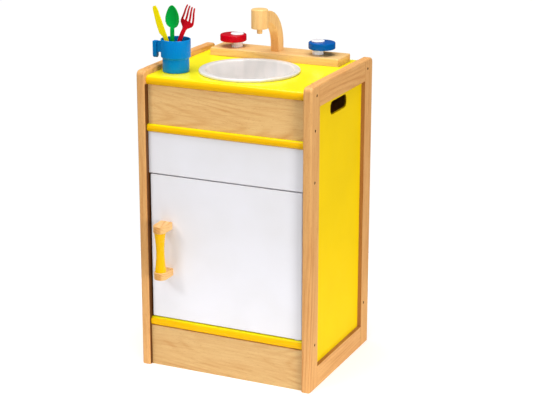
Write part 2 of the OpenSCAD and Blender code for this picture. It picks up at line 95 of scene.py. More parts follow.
# The turn that lays the wood figure's grain along each axis, and how far one seed moves it.
GRAIN_TURN = ((0, 0, 0), (0, 0, -math.pi / 2), (0, math.pi / 2, 0))
SEED_STEP = (1, 0.37, 0.71)


# ---------------------------------------------------------------- settings


class KitchenSizes(bpy.types.PropertyGroup):
    """Edge radii and small details that the frame's plain solids leave out."""

    post_edge: bpy.props.FloatProperty(
        name="Post edge radius", description="Round-over along the posts and top rails",
        default=4.0 * MM, unit="LENGTH")
    corner: bpy.props.FloatProperty(
        name="Frame corner radius", description="Radius of each side frame's top corners",
        default=10 * MM, unit="LENGTH")
    joint_edge: bpy.props.FloatProperty(
        name="Joint edge", description="Eased edge where two frame pieces meet",
        default=0.5 * MM, unit="LENGTH")
    board_edge: bpy.props.FloatProperty(
        name="Board edge", description="Eased edge of the doors and panels",
        default=1.2 * MM, unit="LENGTH")
    ledge_edge: bpy.props.FloatProperty(
        name="Ledge edge", description="Round-over of the tap ledge",
        default=2.5 * MM, unit="LENGTH")
    arm_edge: bpy.props.FloatProperty(
        name="Spout arm edge", description="Round-over of the spout's arm",
        default=2.2 * MM, unit="LENGTH")
    knob_edge: bpy.props.FloatProperty(
        name="Knob edge", description="Round-over of the tap knobs",
        default=2.0 * MM, unit="LENGTH")
    block_edge: bpy.props.FloatProperty(
        name="Handle block edge", description="Round-over of the handle's end blocks",
        default=2.0 * MM, unit="LENGTH")
    basin_wall: bpy.props.FloatProperty(
        name="Basin wall", description="Wall of the moulded basin",
        default=3 * MM, unit="LENGTH")
    cup_wall: bpy.props.FloatProperty(
        name="Cup wall", description="Wall of the moulded cup",
        default=2.2 * MM, unit="LENGTH")
    hole_flare: bpy.props.FloatProperty(
        name="Screw hole flare", description="Eased mouth of each screw hole",
        default=0.3 * MM, unit="LENGTH")


class KitchenColours(bpy.types.PropertyGroup):
    """Base colours of the finishes."""

    beech_light: bpy.props.FloatVectorProperty(
        name="Beech, pale", description="Pale wood between the growth rings",
        default=(0.83, 0.455, 0.165), subtype="COLOR")
    beech_dark: bpy.props.FloatVectorProperty(
        name="Beech, dark", description="Growth rings and streaks",
        default=(0.62, 0.26, 0.075), subtype="COLOR")
    pale_light: bpy.props.FloatVectorProperty(
        name="Pale board light", description="Light figure of the paler boards",
        default=(0.92, 0.60, 0.25), subtype="COLOR")
    pale_dark: bpy.props.FloatVectorProperty(
        name="Pale board dark", description="Dark figure of the paler boards",
        default=(0.74, 0.37, 0.12), subtype="COLOR")
    # The next two colours are painted light and painted shade on one yellow lacquer: lighter where it faces
    # up, darker and warmer on the rounded fronts.
    yellow_lit_top: bpy.props.FloatVectorProperty(
        name="Yellow tops", description="Yellow lacquer painted lighter where it faces up, as painted light",
        default=(0.97, 0.86, 0.004), subtype="COLOR")
    yellow_shaded_front: bpy.props.FloatVectorProperty(
        name="Yellow edges", description="Yellow lacquer painted deeper on the boards' front edges, as painted shade",
        default=(0.99, 0.54, 0.0006), subtype="COLOR")
    # This plain yellow also serves as painted light on the grip's upper side.
    yellow: bpy.props.FloatVectorProperty(
        name="Yellow lacquer", description="Side panels, and the grip's upper side as its painted light",
        default=(0.99, 0.68, 0.001), subtype="COLOR")
    white: bpy.props.FloatVectorProperty(
        name="White laminate", description="Door and upper panel",
        default=(0.90, 0.89, 0.935), subtype="COLOR")
    basin: bpy.props.FloatVectorProperty(
        name="Basin white", description="Moulded basin",
        default=(0.80, 0.755, 0.73), subtype="COLOR")
    red: bpy.props.FloatVectorProperty(
        name="Hot red", description="Hot tap knob",
        default=(0.56, 0.0004, 0.012), subtype="COLOR")
    blue: bpy.props.FloatVectorProperty(
        name="Cold blue", description="Cold tap knob",
        default=(0.0008, 0.095, 0.39), subtype="COLOR")
    cup_blue: bpy.props.FloatVectorProperty(
        name="Cup blue", description="Moulded cup",
        default=(0.0003, 0.235, 0.65), subtype="COLOR")
    knife_yellow: bpy.props.FloatVectorProperty(
        name="Knife yellow", description="Moulded knife",
        default=(0.92, 0.76, 0.001), subtype="COLOR")
    spoon_green: bpy.props.FloatVectorProperty(
        name="Spoon green", description="Moulded spoon",
        default=(0.0006, 0.40, 0.05), subtype="COLOR")
    fork_red: bpy.props.FloatVectorProperty(
        name="Fork red", description="Moulded fork",
        default=(0.66, 0.003, 0.014), subtype="COLOR")


class KitchenStage(bpy.types.PropertyGroup):
    """Camera and lights."""

    azimuth: bpy.props.FloatProperty(
        name="Camera azimuth", description="Turn of the camera to the right of the front",
        default=math.radians(24.79), subtype="ANGLE")
    elevation: bpy.props.FloatProperty(
        name="Camera elevation", description="Height of the camera above the level",
        default=math.radians(17.1), subtype="ANGLE")
    distance: bpy.props.FloatProperty(
        name="Camera distance", description="Distance of the camera from its aim",
        default=3.188, unit="LENGTH")
    aim: bpy.props.FloatVectorProperty(
        name="Camera aim", description="Point that the camera looks at",
        default=(0.0155, 0.0271, 0.3219), subtype="TRANSLATION")
    lens: bpy.props.FloatProperty(
        name="Lens", description="Focal length in millimetres on a 36 mm sensor",
        default=108.3)
    key_power: bpy.props.FloatProperty(
        name="Key light", description="Power of the large soft light at the front left",
        default=28.0, unit="POWER")
    top_power: bpy.props.FloatProperty(
        name="Top light", description="Power of the soft light overhead",
        default=62.0, unit="POWER")
    side_power: bpy.props.FloatProperty(
        name="Side light", description="Power of the tall soft light at the right",
        default=44.0, unit="POWER")
    glint_power: bpy.props.FloatProperty(
        name="Glint light", description="Power of the small light seen only in reflections",
        default=70.0, unit="POWER")
    sky: bpy.props.FloatProperty(
        name="Surround", description="Strength of the white surround",
        default=0.34)


# ---------------------------------------------------------------- mesh making


def fillet(points, radii, steps=6, closed=True):
    """Rounds the corners of a flat outline: each corner gets an arc of its own radius."""
    rounded = []
    count = len(points)
    for i, point in enumerate(points):
        here = Vector(point)
        radius = radii[i]
        is_end = not closed and i in (0, count - 1)
        if radius <= 0 or is_end:
            rounded.append(here)
            continue
        back = (Vector(points[i - 1]) - here).normalized()
        ahead = (Vector(points[(i + 1) % count]) - here).normalized()
        half = back.angle(ahead) / 2
        reach = radius / math.tan(half)
        centre = here + (back + ahead).normalized() * (radius / math.sin(half))
        start = here + back * reach - centre
        finish = here + ahead * reach - centre
        sweep = start.angle(finish)
        for k in range(steps + 1):
            t = k / steps
            a = math.sin((1 - t) * sweep) / math.sin(sweep)
            b = math.sin(t * sweep) / math.sin(sweep)
            rounded.append(centre + start * a + finish * b)
    return rounded


def turned(bm, profile, origin, axis=(0, 0, 1), segments=96, closed=False):
    """Spins a profile of (radius, distance along the axis) points into bm, as a lathe does."""
    turn = Vector(axis).to_track_quat("Z", "Y").to_matrix()
    rings = []
    for radius, along in profile:
        count = 1 if radius < 1e-7 else segments
        angles = [2 * math.pi * k / count for k in range(count)]
        points = [Vector((radius * math.cos(a), radius * math.sin(a), along)) for a in angles]
        rings.append([bm.verts.new(Vector(origin) + turn @ p) for p in points])
    following = rings[1:] + (rings[:1] if closed else [])
    for lower, upper in zip(rings, following):
        for k in range(segments):
            corners = [
                lower[k % len(lower)], lower[(k + 1) % len(lower)],
                upper[(k + 1) % len(upper)], upper[k % len(upper)],
            ]
            unique = list(dict.fromkeys(corners))
            if len(unique) > 2:
                bm.faces.new(unique)


def bore(bm, radius, start, end, flare=0.0):
    """Adds a closed cutter for a round hole from start to end, opening out at its end if flared."""
    start, end = Vector(start), Vector(end)
    length = (end - start).length
    profile = [(0, 0), (radius, 0)]
    if flare:
        profile += [(radius, length - flare), (radius + flare, length)]
        radius += flare
        length += MM
    profile += [(radius, length), (0, length)]
    turned(bm, profile, start, end - start, segments=32)


def plate(bm, outline, low, high, axis, ease=None):
    """Gives an outline thickness along axis, from low to high.

    The outline's two coordinates are the other two axes, in X, Y, Z order.  ease(point, crosswise)
    returns the edge radius wanted at an edge's middle, where crosswise is true for an edge that
    runs along axis, and is kept as the edge's bevel weight.
    """
    others = [k for k in range(3) if k != axis]
    rings = []
    for level in (low, high):
        ring = []
        for point in outline:
            place = Vector((0, 0, 0))
            place[axis] = level
            place[others[0]], place[others[1]] = point[0], point[1]
            ring.append(bm.verts.new(place))
        rings.append(ring)
    count = len(outline)
    for k in range(count):
        after = (k + 1) % count
        bm.faces.new([rings[0][k], rings[0][after], rings[1][after], rings[1][k]])
    bm.faces.new(rings[0][::-1])
    bm.faces.new(rings[1])
    if ease is None:
        return
    weight = bm.edges.layers.float.new("bevel_weight_edge")
    for edge in bm.edges:
        a, b = edge.verts[0].co, edge.verts[1].co
        crosswise = abs(a[axis] - b[axis]) > NEAR
        edge[weight] = ease((a + b) / 2, crosswise) / EASE_UNIT


def piece_from(bm, name):
    """A new object that holds bm as its mesh."""
    bmesh.ops.recalc_face_normals(bm, faces=bm.faces)
    mesh = bpy.data.meshes.new(name)
    bm.to_mesh(mesh)
    bm.free()
    piece = bpy.data.objects.new(name, mesh)
    bpy.context.scene.collection.objects.link(piece)
    return piece


def realise(piece, sharp=35):
    """Applies a piece's modifiers, so that its mesh itself holds the shape."""
    bpy.context.view_layer.update()
    graph = bpy.context.evaluated_depsgraph_get()
    mesh = bpy.data.meshes.new_from_object(piece.evaluated_get(graph))
    piece.modifiers.clear()
    piece.data = mesh
    mesh.shade_smooth()
    mesh.set_sharp_from_angle(angle=math.radians(sharp))
    return piece


def bevel_edges(piece, method, width, segments, angle=40):
    """Rounds the edges of a piece that a bevel's method picks."""
    bevel = piece.modifiers.new("rounded edges", "BEVEL")
    bevel.limit_method = method
    bevel.angle_limit = math.radians(angle)
    bevel.width = width
    bevel.segments = segments
    bevel.use_clamp_overlap = True
    return realise(piece)


def ease_edges(piece, segments=4):
    """Rounds the edges that carry a bevel weight."""
    return bevel_edges(piece, "WEIGHT", EASE_UNIT, segments)


def round_edges(piece, radius, segments=3, angle=40):
    """Rounds every edge sharper than angle."""
    return bevel_edges(piece, "ANGLE", radius, segments, angle)


def combine(piece, tool_bm, operation="DIFFERENCE"):
    """Cuts tool_bm out of a piece, or joins it on."""
    tool = piece_from(tool_bm, piece.name + "_tool")
    boolean = piece.modifiers.new("tool", "BOOLEAN")
    boolean.operation = operation
    boolean.solver = "EXACT"
    boolean.object = tool
    realise(piece)
    bpy.data.objects.remove(tool)
    return piece


def loose_mesh(piece):
    """Takes a piece's mesh back as a bmesh and removes the piece."""
    bm = bmesh.new()
    bm.from_mesh(piece.data)
    bpy.data.objects.remove(piece)
    return bm


def flatten_normals(piece):
    """Keeps broad faces looking flat beside their rounded edges."""
    weighted = piece.modifiers.new("broad faces", "WEIGHTED_NORMAL")
    weighted.weight = 80
    weighted.keep_sharp = True
    return piece


def fit(piece, node, material):
    """Puts a finished piece on its node's body, in that node's place, with its finish."""
    piece.data.materials.clear()
    piece.data.materials.append(material)
    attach(piece, NODES[node]["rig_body"])
    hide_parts(node)
    return piece


def solids_of(node):
    """The box of each separate solid in a CAD node, lowest first."""
    bm = bmesh.new()
    bm.from_mesh(NODES[node].data)
    bmesh.ops.remove_doubles(bm, verts=bm.verts, dist=1e-6)
    boxes = []
    unseen = set(bm.verts)
    while unseen:
        stack = [unseen.pop()]
        island = list(stack)
        while stack:
            for edge in stack.pop().link_edges:
                for vert in edge.verts:
                    if vert in unseen:
                        unseen.discard(vert)
                        island.append(vert)
                        stack.append(vert)
        places = [v.co for v in island]
        low = Vector(min(p[k] for p in places) for k in range(3))
        high = Vector(max(p[k] for p in places) for k in range(3))
        boxes.append((low, high))
    bm.free()
    return sorted(boxes, key=lambda box: (round(box[0].z, 4), round(box[0].y, 4)))


def middle(box):
    """The centre of a (low, high) box."""
    return (box[0] + box[1]) / 2


# ---------------------------------------------------------------- shader groups


def add_node(tree, kind, inputs=None, **settings):
    """Adds a shader node, sets its options and fills or wires its inputs."""
    made = tree.nodes.new(kind)
    for name, value in settings.items():
        setattr(made, name, value)
    feed(tree, made.inputs, inputs or {})
    return made


def feed(tree, sockets, inputs):
    """Fills each named socket with a value, or wires it to another node's output."""
    for name, value in inputs.items():
        if isinstance(value, bpy.types.NodeSocket):
            tree.links.new(value, sockets[name])
        else:
            sockets[name].default_value = value


def calc(tree, operation, *values, clamp=False):
    """One Math node, and its result."""
    inputs = dict(enumerate(values))
    return add_node(tree, "ShaderNodeMath", inputs, operation=operation, use_clamp=clamp).outputs[0]


def vector_calc(tree, operation, *values, result="Vector"):
    """One Vector Math node, and its result."""
    inputs = dict(enumerate(values))
    return add_node(tree, "ShaderNodeVectorMath", inputs, operation=operation).outputs[result]


def coordinates(tree, vector):
    """The X, Y and Z of a vector."""
    return add_node(tree, "ShaderNodeSeparateXYZ", {0: vector}).outputs


def blend_colours(tree, factor, a, b, mode="MIX"):
    """One colour mix, and its result."""
    mix = add_node(tree, "ShaderNodeMix", data_type="RGBA", blend_type=mode, clamp_factor=True)
    feed(tree, mix.inputs, {0: factor, 6: a, 7: b})
    return mix.outputs[2]


def stain(tree, colour, tint):
    """A colour multiplied by a tint."""
    return blend_colours(tree, 1.0, colour, tint, "MULTIPLY")


def ramp(tree, value, low, high):
    """A smooth step from 0 at low to 1 at high."""
    inputs = {"Value": value, "From Min": low, "From Max": high}
    return add_node(tree, "ShaderNodeMapRange", inputs, interpolation_type="SMOOTHSTEP").outputs["Result"]


def noise(tree, vector, stretch, detail=2.0, roughness=0.5, distortion=0.0, result="Fac"):
    """Noise in a stretched space, as a value about 0.5 or as a colour."""
    inputs = {
        "Vector": vector_calc(tree, "MULTIPLY", vector, stretch), "Scale": 1.0, "Detail": detail,
        "Roughness": roughness, "Distortion": distortion,
    }
    return add_node(tree, "ShaderNodeTexNoise", inputs).outputs[result]


PLACE_INPUT = ("Vector", "Vector", (0, 0, 0))
FINISH_INPUTS = [PLACE_INPUT, ("Colour", "Color", (1, 1, 1, 1)), ("Roughness", "Float", 0.2)]
FINISH_OUTPUTS = [("Color", "Color"), ("Roughness", "Float"), ("Height", "Float")]


def new_group(name, inputs, outputs):
    """A shader node group with named sockets; returns its tree, its inputs and its outputs."""
    tree = bpy.data.node_groups.new(name, "ShaderNodeTree")
    for label, kind, default in inputs:
        socket = tree.interface.new_socket(name=label, in_out="INPUT", socket_type="NodeSocket" + kind)
        socket.default_value = default
    for label, kind in outputs:
        tree.interface.new_socket(name=label, in_out="OUTPUT", socket_type="NodeSocket" + kind)
    return tree, tree.nodes.new("NodeGroupInput").outputs, tree.nodes.new("NodeGroupOutput").inputs


def make_edge_group():
    """Marks what lies near a board's edges, where hands and knocks wear the finish."""
    corners = [("Low", "Vector", (0, 0, 0)), ("High", "Vector", (1, 1, 1))]
    inputs = [PLACE_INPUT, *corners, ("Width", "Float", 4 * MM)]
    tree, given, result = new_group("board edges", inputs, [("Mask", "Float")])
    from_low = vector_calc(tree, "SUBTRACT", given["Vector"], given["Low"])
    from_high = vector_calc(tree, "SUBTRACT", given["High"], given["Vector"])
    x, y, z = coordinates(tree, vector_calc(tree, "MINIMUM", from_low, from_high))
    smaller = calc(tree, "MINIMUM", x, y)
    larger = calc(tree, "MAXIMUM", x, y)
    second = calc(tree, "MAXIMUM", smaller, calc(tree, "MINIMUM", larger, z))
    nearness = calc(tree, "SUBTRACT", 1.0, calc(tree, "DIVIDE", second, given["Width"]), clamp=True)
    patches = ramp(tree, noise(tree, given["Vector"], (60, 60, 60), detail=3.0), 0.35, 0.65)
    uneven = calc(tree, "MULTIPLY_ADD", patches, 0.6, 0.4)
    feed(tree, result, {"Mask": calc(tree, "MULTIPLY", nearness, uneven, clamp=True)})
    return tree


def make_wood_group():
    """Solid wood with its grain along X: rings around a heart, streaks, fibres, flecks and a knot."""
    tree, given, result = new_group(
        "wood figure",
        [PLACE_INPUT, ("Heart", "Vector", (0, 0.03, -0.05)), ("Rings", "Float", 170.0),
         ("Taper", "Float", 0.05), ("Pale", "Color", (0.8, 0.5, 0.2, 1)),
         ("Dark", "Color", (0.5, 0.3, 0.1, 1)), ("Figure", "Float", 0.5),
         ("Knot", "Vector", (9, 9, 9)), ("Knot Size", "Float", 8 * MM)],
        [("Color", "Color"), ("Grain", "Float"), ("Height", "Float")])
    place = given["Vector"]
    warp = noise(tree, place, (2.4, 9, 9), result="Color")
    drift = vector_calc(tree, "SUBTRACT", warp, (0.5, 0.5, 0.5))
    bent = vector_calc(tree, "ADD", place, vector_calc(tree, "MULTIPLY", drift, (0, 0.045, 0.045)))
    to_knot = vector_calc(tree, "SUBTRACT", place, given["Knot"])
    squeezed = vector_calc(tree, "MULTIPLY", to_knot, (0.45, 1, 1))
    knot_range = vector_calc(tree, "LENGTH", squeezed, result="Value")
    knot_range = calc(tree, "DIVIDE", knot_range, given["Knot Size"])
    swell = calc(tree, "EXPONENT", calc(tree, "MULTIPLY", knot_range, -0.55))
    x, y, z = coordinates(tree, vector_calc(tree, "SUBTRACT", bent, given["Heart"]))
    radius = calc(tree, "SQRT", calc(tree, "MULTIPLY_ADD", z, z, calc(tree, "POWER", y, 2.0)))
    radius = calc(tree, "MULTIPLY_ADD", x, given["Taper"], radius)
    radius = calc(tree, "MULTIPLY_ADD", swell, 0.02, radius)
    phase = calc(tree, "MULTIPLY", calc(tree, "MULTIPLY", radius, given["Rings"]), 2 * math.pi)
    rings = calc(tree, "MULTIPLY_ADD", calc(tree, "SINE", phase), 0.5, 0.5)
    strength = ramp(tree, noise(tree, place, (5, 25, 25)), 0.35, 0.80)
    rings = calc(tree, "MULTIPLY", calc(tree, "POWER", rings, 2.4), strength)
    streaks = ramp(tree, noise(tree, bent, (7, 170, 170), detail=4.0, roughness=0.65), 0.38, 0.72)
    fibres = noise(tree, bent, (30, 1300, 1300), detail=3.0)
    flecks = ramp(tree, noise(tree, bent, (150, 900, 900), detail=1.0), 0.60, 0.72)
    clouds = ramp(tree, noise(tree, place, (6, 28, 28)), 0.25, 0.8)
    figure = calc(tree, "MULTIPLY", rings, 0.75)
    figure = calc(tree, "MULTIPLY_ADD", streaks, 0.50, figure)
    figure = calc(tree, "MULTIPLY_ADD", clouds, 0.30, figure)
    figure = calc(tree, "MULTIPLY_ADD", calc(tree, "SUBTRACT", fibres, 0.5), 1.1, figure)
    figure = calc(tree, "MULTIPLY", figure, calc(tree, "MULTIPLY", given["Figure"], 2.0), clamp=True)
    colour = blend_colours(tree, figure, given["Pale"], given["Dark"])
    fleck_colour = stain(tree, given["Dark"], (0.78, 0.66, 0.55, 1))
    colour = blend_colours(tree, calc(tree, "MULTIPLY", flecks, 0.30), colour, fleck_colour)
    knot_core = calc(tree, "SUBTRACT", 1.0, ramp(tree, knot_range, 0.35, 0.95), clamp=True)
    knot_colour = stain(tree, given["Dark"], (0.42, 0.33, 0.26, 1))
    colour = blend_colours(tree, calc(tree, "MULTIPLY", knot_core, 0.85), colour, knot_colour)
    relief = calc(tree, "MULTIPLY_ADD", fibres, 0.8, calc(tree, "MULTIPLY", figure, -0.35))
    relief = calc(tree, "MULTIPLY_ADD", flecks, -0.5, relief)
    feed(tree, result, {"Color": colour, "Grain": figure, "Height": relief})
    return tree


def make_lacquer_group():
    """Sprayed lacquer or laminate: slight orange peel, long waves, smudges and rubbed edges."""
    inputs = FINISH_INPUTS + [("Edge", "Float", 0.0), ("Peel", "Float", 1.0)]
    tree, given, result = new_group("sprayed lacquer", inputs, FINISH_OUTPUTS)
    place = given["Vector"]
    clouds = ramp(tree, noise(tree, place, (7, 7, 7), detail=3.0), 0.3, 0.7)
    deeper = stain(tree, given["Colour"], (0.955, 0.95, 0.93, 1))
    colour = blend_colours(tree, clouds, given["Colour"], deeper)
    worn = stain(tree, colour, (0.90, 0.86, 0.80, 1))
    colour = blend_colours(tree, calc(tree, "MULTIPLY", given["Edge"], 0.45), colour, worn)
    smudges = noise(tree, place, (22, 22, 22), detail=5.0, roughness=0.6, distortion=0.6)
    rough = calc(tree, "MULTIPLY_ADD", calc(tree, "SUBTRACT", smudges, 0.5), 0.16, given["Roughness"])
    rough = calc(tree, "MULTIPLY_ADD", given["Edge"], 0.10, rough, clamp=True)
    peel = noise(tree, place, (330, 330, 330), detail=1.0)
    waves = noise(tree, place, (26, 26, 26), detail=1.0)
    height = calc(tree, "MULTIPLY_ADD", waves, 1.6, calc(tree, "MULTIPLY", peel, given["Peel"]))
    feed(tree, result, {"Color": colour, "Roughness": rough, "Height": height})
    return tree


def make_plastic_group():
    """Moulded plastic: faint flow marks, fine scratches and slightly uneven gloss."""
    tree, given, result = new_group("moulded plastic", FINISH_INPUTS, FINISH_OUTPUTS)
    place = given["Vector"]
    flow = ramp(tree, noise(tree, place, (30, 30, 12), detail=3.0, distortion=1.2), 0.3, 0.7)
    deeper = stain(tree, given["Colour"], (0.90, 0.92, 0.92, 1))
    colour = blend_colours(tree, flow, given["Colour"], deeper)
    scratches = ramp(tree, noise(tree, place, (900, 900, 60)), 0.60, 0.70)
    handled = noise(tree, place, (45, 45, 45), detail=4.0)
    rough = calc(tree, "MULTIPLY_ADD", calc(tree, "SUBTRACT", handled, 0.5), 0.20, given["Roughness"])
    rough = calc(tree, "MULTIPLY_ADD", scratches, 0.08, rough, clamp=True)
    sink = noise(tree, place, (70, 70, 70), detail=1.0)
    height = calc(tree, "MULTIPLY_ADD", scratches, -0.15, sink)
    feed(tree, result, {"Color": colour, "Roughness": rough, "Height": height})
    return tree


def make_steel_group():
    """Drawn or plated steel: fine lines along the drawing direction and dull patches."""
    tree, given, result = new_group("drawn steel", FINISH_INPUTS, FINISH_OUTPUTS)
    lines = noise(tree, given["Vector"], (2600, 2600, 90))
    dull = ramp(tree, noise(tree, given["Vector"], (180, 180, 180), detail=3.0), 0.4, 0.7)
    darker = stain(tree, given["Colour"], (0.62, 0.60, 0.56, 1))
    colour = blend_colours(tree, dull, given["Colour"], darker)
    rough = calc(tree, "MULTIPLY_ADD", dull, 0.22, given["Roughness"])
    rough = calc(tree, "MULTIPLY_ADD", lines, 0.10, rough, clamp=True)
    feed(tree, result, {"Color": colour, "Roughness": rough, "Height": lines})
    return tree


GROUP_MAKERS = {
    "board edges": make_edge_group,
    "wood figure": make_wood_group,
    "sprayed lacquer": make_lacquer_group,
    "moulded plastic": make_plastic_group,
    "drawn steel": make_steel_group,
}


def use_group(tree, name, inputs):
    """Places a shared group in a material with its own values; builds it the first time."""
    made = tree.nodes.new("ShaderNodeGroup")
    made.node_tree = bpy.data.node_groups.get(name) or GROUP_MAKERS[name]()
    feed(tree, made.inputs, inputs)
    return made.outputs


# ---------------------------------------------------------------- materials


def colour_of(name):
    """One of the settings' colours, with full alpha."""
    return (*getattr(bpy.context.scene.kitchen_colours, name), 1.0)


def toned(name, tone):
    """One of the settings' colours, made lighter or darker."""
    return (*(c * tone for c in colour_of(name)[:3]), 1.0)


def moved(point, seed):
    """A point's place in a seed's own part of the wood figure."""
    return tuple(p + step * seed for p, step in zip(point, SEED_STEP))


def new_material(name):
    """An empty material with its tree, its shader and the coordinates of the piece."""
    material = bpy.data.materials.new(name)
    material.use_nodes = True
    tree = material.node_tree
    place = tree.nodes.new("ShaderNodeTexCoord").outputs["Object"]
    return material, tree, tree.nodes["Principled BSDF"], place


def facing(tree):
    """The direction that the piece's surface faces."""
    return tree.nodes.new("ShaderNodeTexCoord").outputs["Normal"]


def surface(tree, shader, finish, bump, depth=0.2 * MM):
    """Wires a finish's colour, roughness and relief into the shader."""
    inputs = {"Height": finish["Height"], "Strength": bump, "Distance": depth}
    relief = add_node(tree, "ShaderNodeBump", inputs)
    feed(tree, shader.inputs, {
        "Base Color": finish["Color"], "Roughness": finish["Roughness"], "Normal": relief.outputs["Normal"],
    })


def edge_wear(tree, place, node):
    """The mask of a node's worn edges."""
    low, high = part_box(node)
    return use_group(tree, "board edges", {"Vector": place, "Low": low, "High": high})["Mask"]


def wood(name, node, seed=0.0, heart=(0, 0.03, -0.05), rings=170.0, figure=0.5, tone=1.0, taper=0.05,
         knot=None, grain=None, gloss=0.40, stock="beech", shaded_facing=None, shade=None):
    """Clear-lacquered beech for one board, with its grain along the board's longest side.

    The facing direction argument picks the faces that get painted shade, as if less light reached them:
    faces looking into a recess, and forward faces, which on the handle blocks are also end grain.
    shade is the tint of that painted shade.
    """
    material, tree, shader, place = new_material(name)
    low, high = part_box(node)
    size = high - low
    axis = grain if grain is not None else max(range(3), key=lambda k: size[k])
    local = vector_calc(tree, "SUBTRACT", place, middle((low, high)))
    turn = add_node(tree, "ShaderNodeVectorRotate", {"Vector": local}, rotation_type="EULER_XYZ")
    turn.inputs["Rotation"].default_value = GRAIN_TURN[axis]
    values = {
        "Vector": vector_calc(tree, "ADD", turn.outputs[0], moved((0, 0, 0), seed)),
        "Heart": moved(heart, seed), "Rings": rings, "Taper": taper, "Figure": figure,
        "Pale": toned(stock + "_light", tone), "Dark": toned(stock + "_dark", tone),
    }
    if knot:
        values["Knot"] = moved(knot, seed)
    finish = use_group(tree, "wood figure", values)
    rubbed = stain(tree, finish["Color"], (0.86, 0.80, 0.72, 1))
    wear = calc(tree, "MULTIPLY", edge_wear(tree, place, node), 0.30)
    colour = blend_colours(tree, wear, finish["Color"], rubbed)
    # Painted shade: faces turned the given way are darkened, as if light left them in shade.
    if shaded_facing:
        toward = vector_calc(tree, "DOT_PRODUCT", facing(tree), shaded_facing, result="Value")
        painted_shade_mask = ramp(tree, toward, 0.75, 0.97)
        # The painted deep shade on the front posts' inner faces stops at the worktop's top, where the door
        # no longer shades them.
        if shaded_facing[0]:
            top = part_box("worktop")[0].z
            above = ramp(tree, coordinates(tree, place)[2], top, top + 4 * MM)
            painted_shade_mask = calc(tree, "MULTIPLY", painted_shade_mask, calc(tree, "SUBTRACT", 1.0, above))
        shade = shade or (PAINTED_DEEP_SHADE if shaded_facing[0] else PAINTED_RECESS_SHADE)
        colour = blend_colours(tree, painted_shade_mask, colour, stain(tree, colour, shade))
    rough = calc(tree, "MULTIPLY_ADD", finish["Grain"], 0.14, gloss)
    made = {"Color": colour, "Roughness": rough, "Height": finish["Height"]}
    surface(tree, shader, made, 0.22, 0.15 * MM)
    shader.inputs["Specular IOR Level"].default_value = 0.22
    return material


def lacquer(name, colour, node=None, roughness=0.2, peel=1.0, bump=0.12, specular=0.3, above=None):
    """Sprayed gloss colour, with another colour painted where it faces up as painted light from above; a
    node's box marks where its edges are handled.
    """
    material, tree, shader, place = new_material(name)
    # Painted light: faces turned up take the lighter colour given as above.
    if above:
        upward = coordinates(tree, facing(tree))[2]
        colour = blend_colours(tree, ramp(tree, upward, 0.60, 0.95), colour, above)
    values = {"Vector": place, "Colour": colour, "Roughness": roughness, "Peel": peel}
    if node:
        values["Edge"] = edge_wear(tree, place, node)
    surface(tree, shader, use_group(tree, "sprayed lacquer", values), bump)
    shader.inputs["Specular IOR Level"].default_value = specular
    return material


def yellow_board(node):
    """Yellow lacquer for a board, with painted light: a lighter yellow on top and a painted-shade orange
    around its rounded front.
    """
    colours = {"colour": colour_of("yellow_shaded_front"), "above": colour_of("yellow_lit_top")}
    return lacquer(node + "_lacquer", roughness=0.20, **colours)


def laminate(node):
    """Satin white laminate for a panel."""
    return lacquer(node + "_laminate", colour_of("white"), node, roughness=0.34, peel=0.5, bump=0.06)


def plastic(name, colour, roughness, specular=0.14):
    """Moulded plastic in one colour."""
    material, tree, shader, place = new_material(name)
    values = {"Vector": place, "Colour": colour, "Roughness": roughness}
    surface(tree, shader, use_group(tree, "moulded plastic", values), 0.10, 0.3 * MM)
    shader.inputs["Specular IOR Level"].default_value = specular
    return material


def steel(name, colour, roughness):
    """Plated or blackened steel."""
    material, tree, shader, place = new_material(name)
    values = {"Vector": place, "Colour": colour, "Roughness": roughness}
    surface(tree, shader, use_group(tree, "drawn steel", values), 0.15, 0.05 * MM)
    shader.inputs["Metallic"].default_value = 1.0
    return material


# ---------------------------------------------------------------- pieces


def near(a, b):
    """Whether two lengths are the same, as when a point lies on a face."""
    return abs(a - b) < NEAR


def radius_of(box):
    """The radius of an upright round piece in its (low, high) box."""
    return (box[1].x - box[0].x) / 2


def box_outline(low, high, axis):
    """The rectangle of a box as seen along axis."""
    a, b = [k for k in range(3) if k != axis]
    return [(low[a], low[b]), (high[a], low[b]), (high[a], high[b]), (low[a], high[b])]


def eased_plate(name, outline, box, axis, ease, segments=4):
    """A new piece: an outline as thick as its box along axis, its edges eased as ease says."""
    bm = bmesh.new()
    plate(bm, outline, box[0][axis], box[1][axis], axis, ease)
    return ease_edges(piece_from(bm, name + "_piece"), segments)


def turned_piece(name, profile, centre, **options):
    """A new piece, turned about the upright line through centre."""
    bm = bmesh.new()
    turned(bm, profile, (centre.x, centre.y, 0), **options)
    return piece_from(bm, name + "_piece")


def bore_for(cutter, pin, gap, bottom, top):
    """Adds an upright hole for a round pin to a cutter, with a gap all round."""
    centre = middle(pin)
    bore(cutter, radius_of(pin) + gap, (centre.x, centre.y, bottom), (centre.x, centre.y, top))


def board(node, ease):
    """A board that fills its node's box, with edges eased as ease(point, crosswise) says."""
    low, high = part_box(node)
    axis = min(range(3), key=lambda k: (high - low)[k])
    return eased_plate(node, box_outline(low, high, axis), (low, high), axis, ease)


def outer_and_inner(side, low, high):
    """The outer and inner X of a side frame's piece, and which way is out."""
    outer, inner = (high.x, low.x) if side == "right" else (low.x, high.x)
    return outer, inner, math.copysign(1, outer)


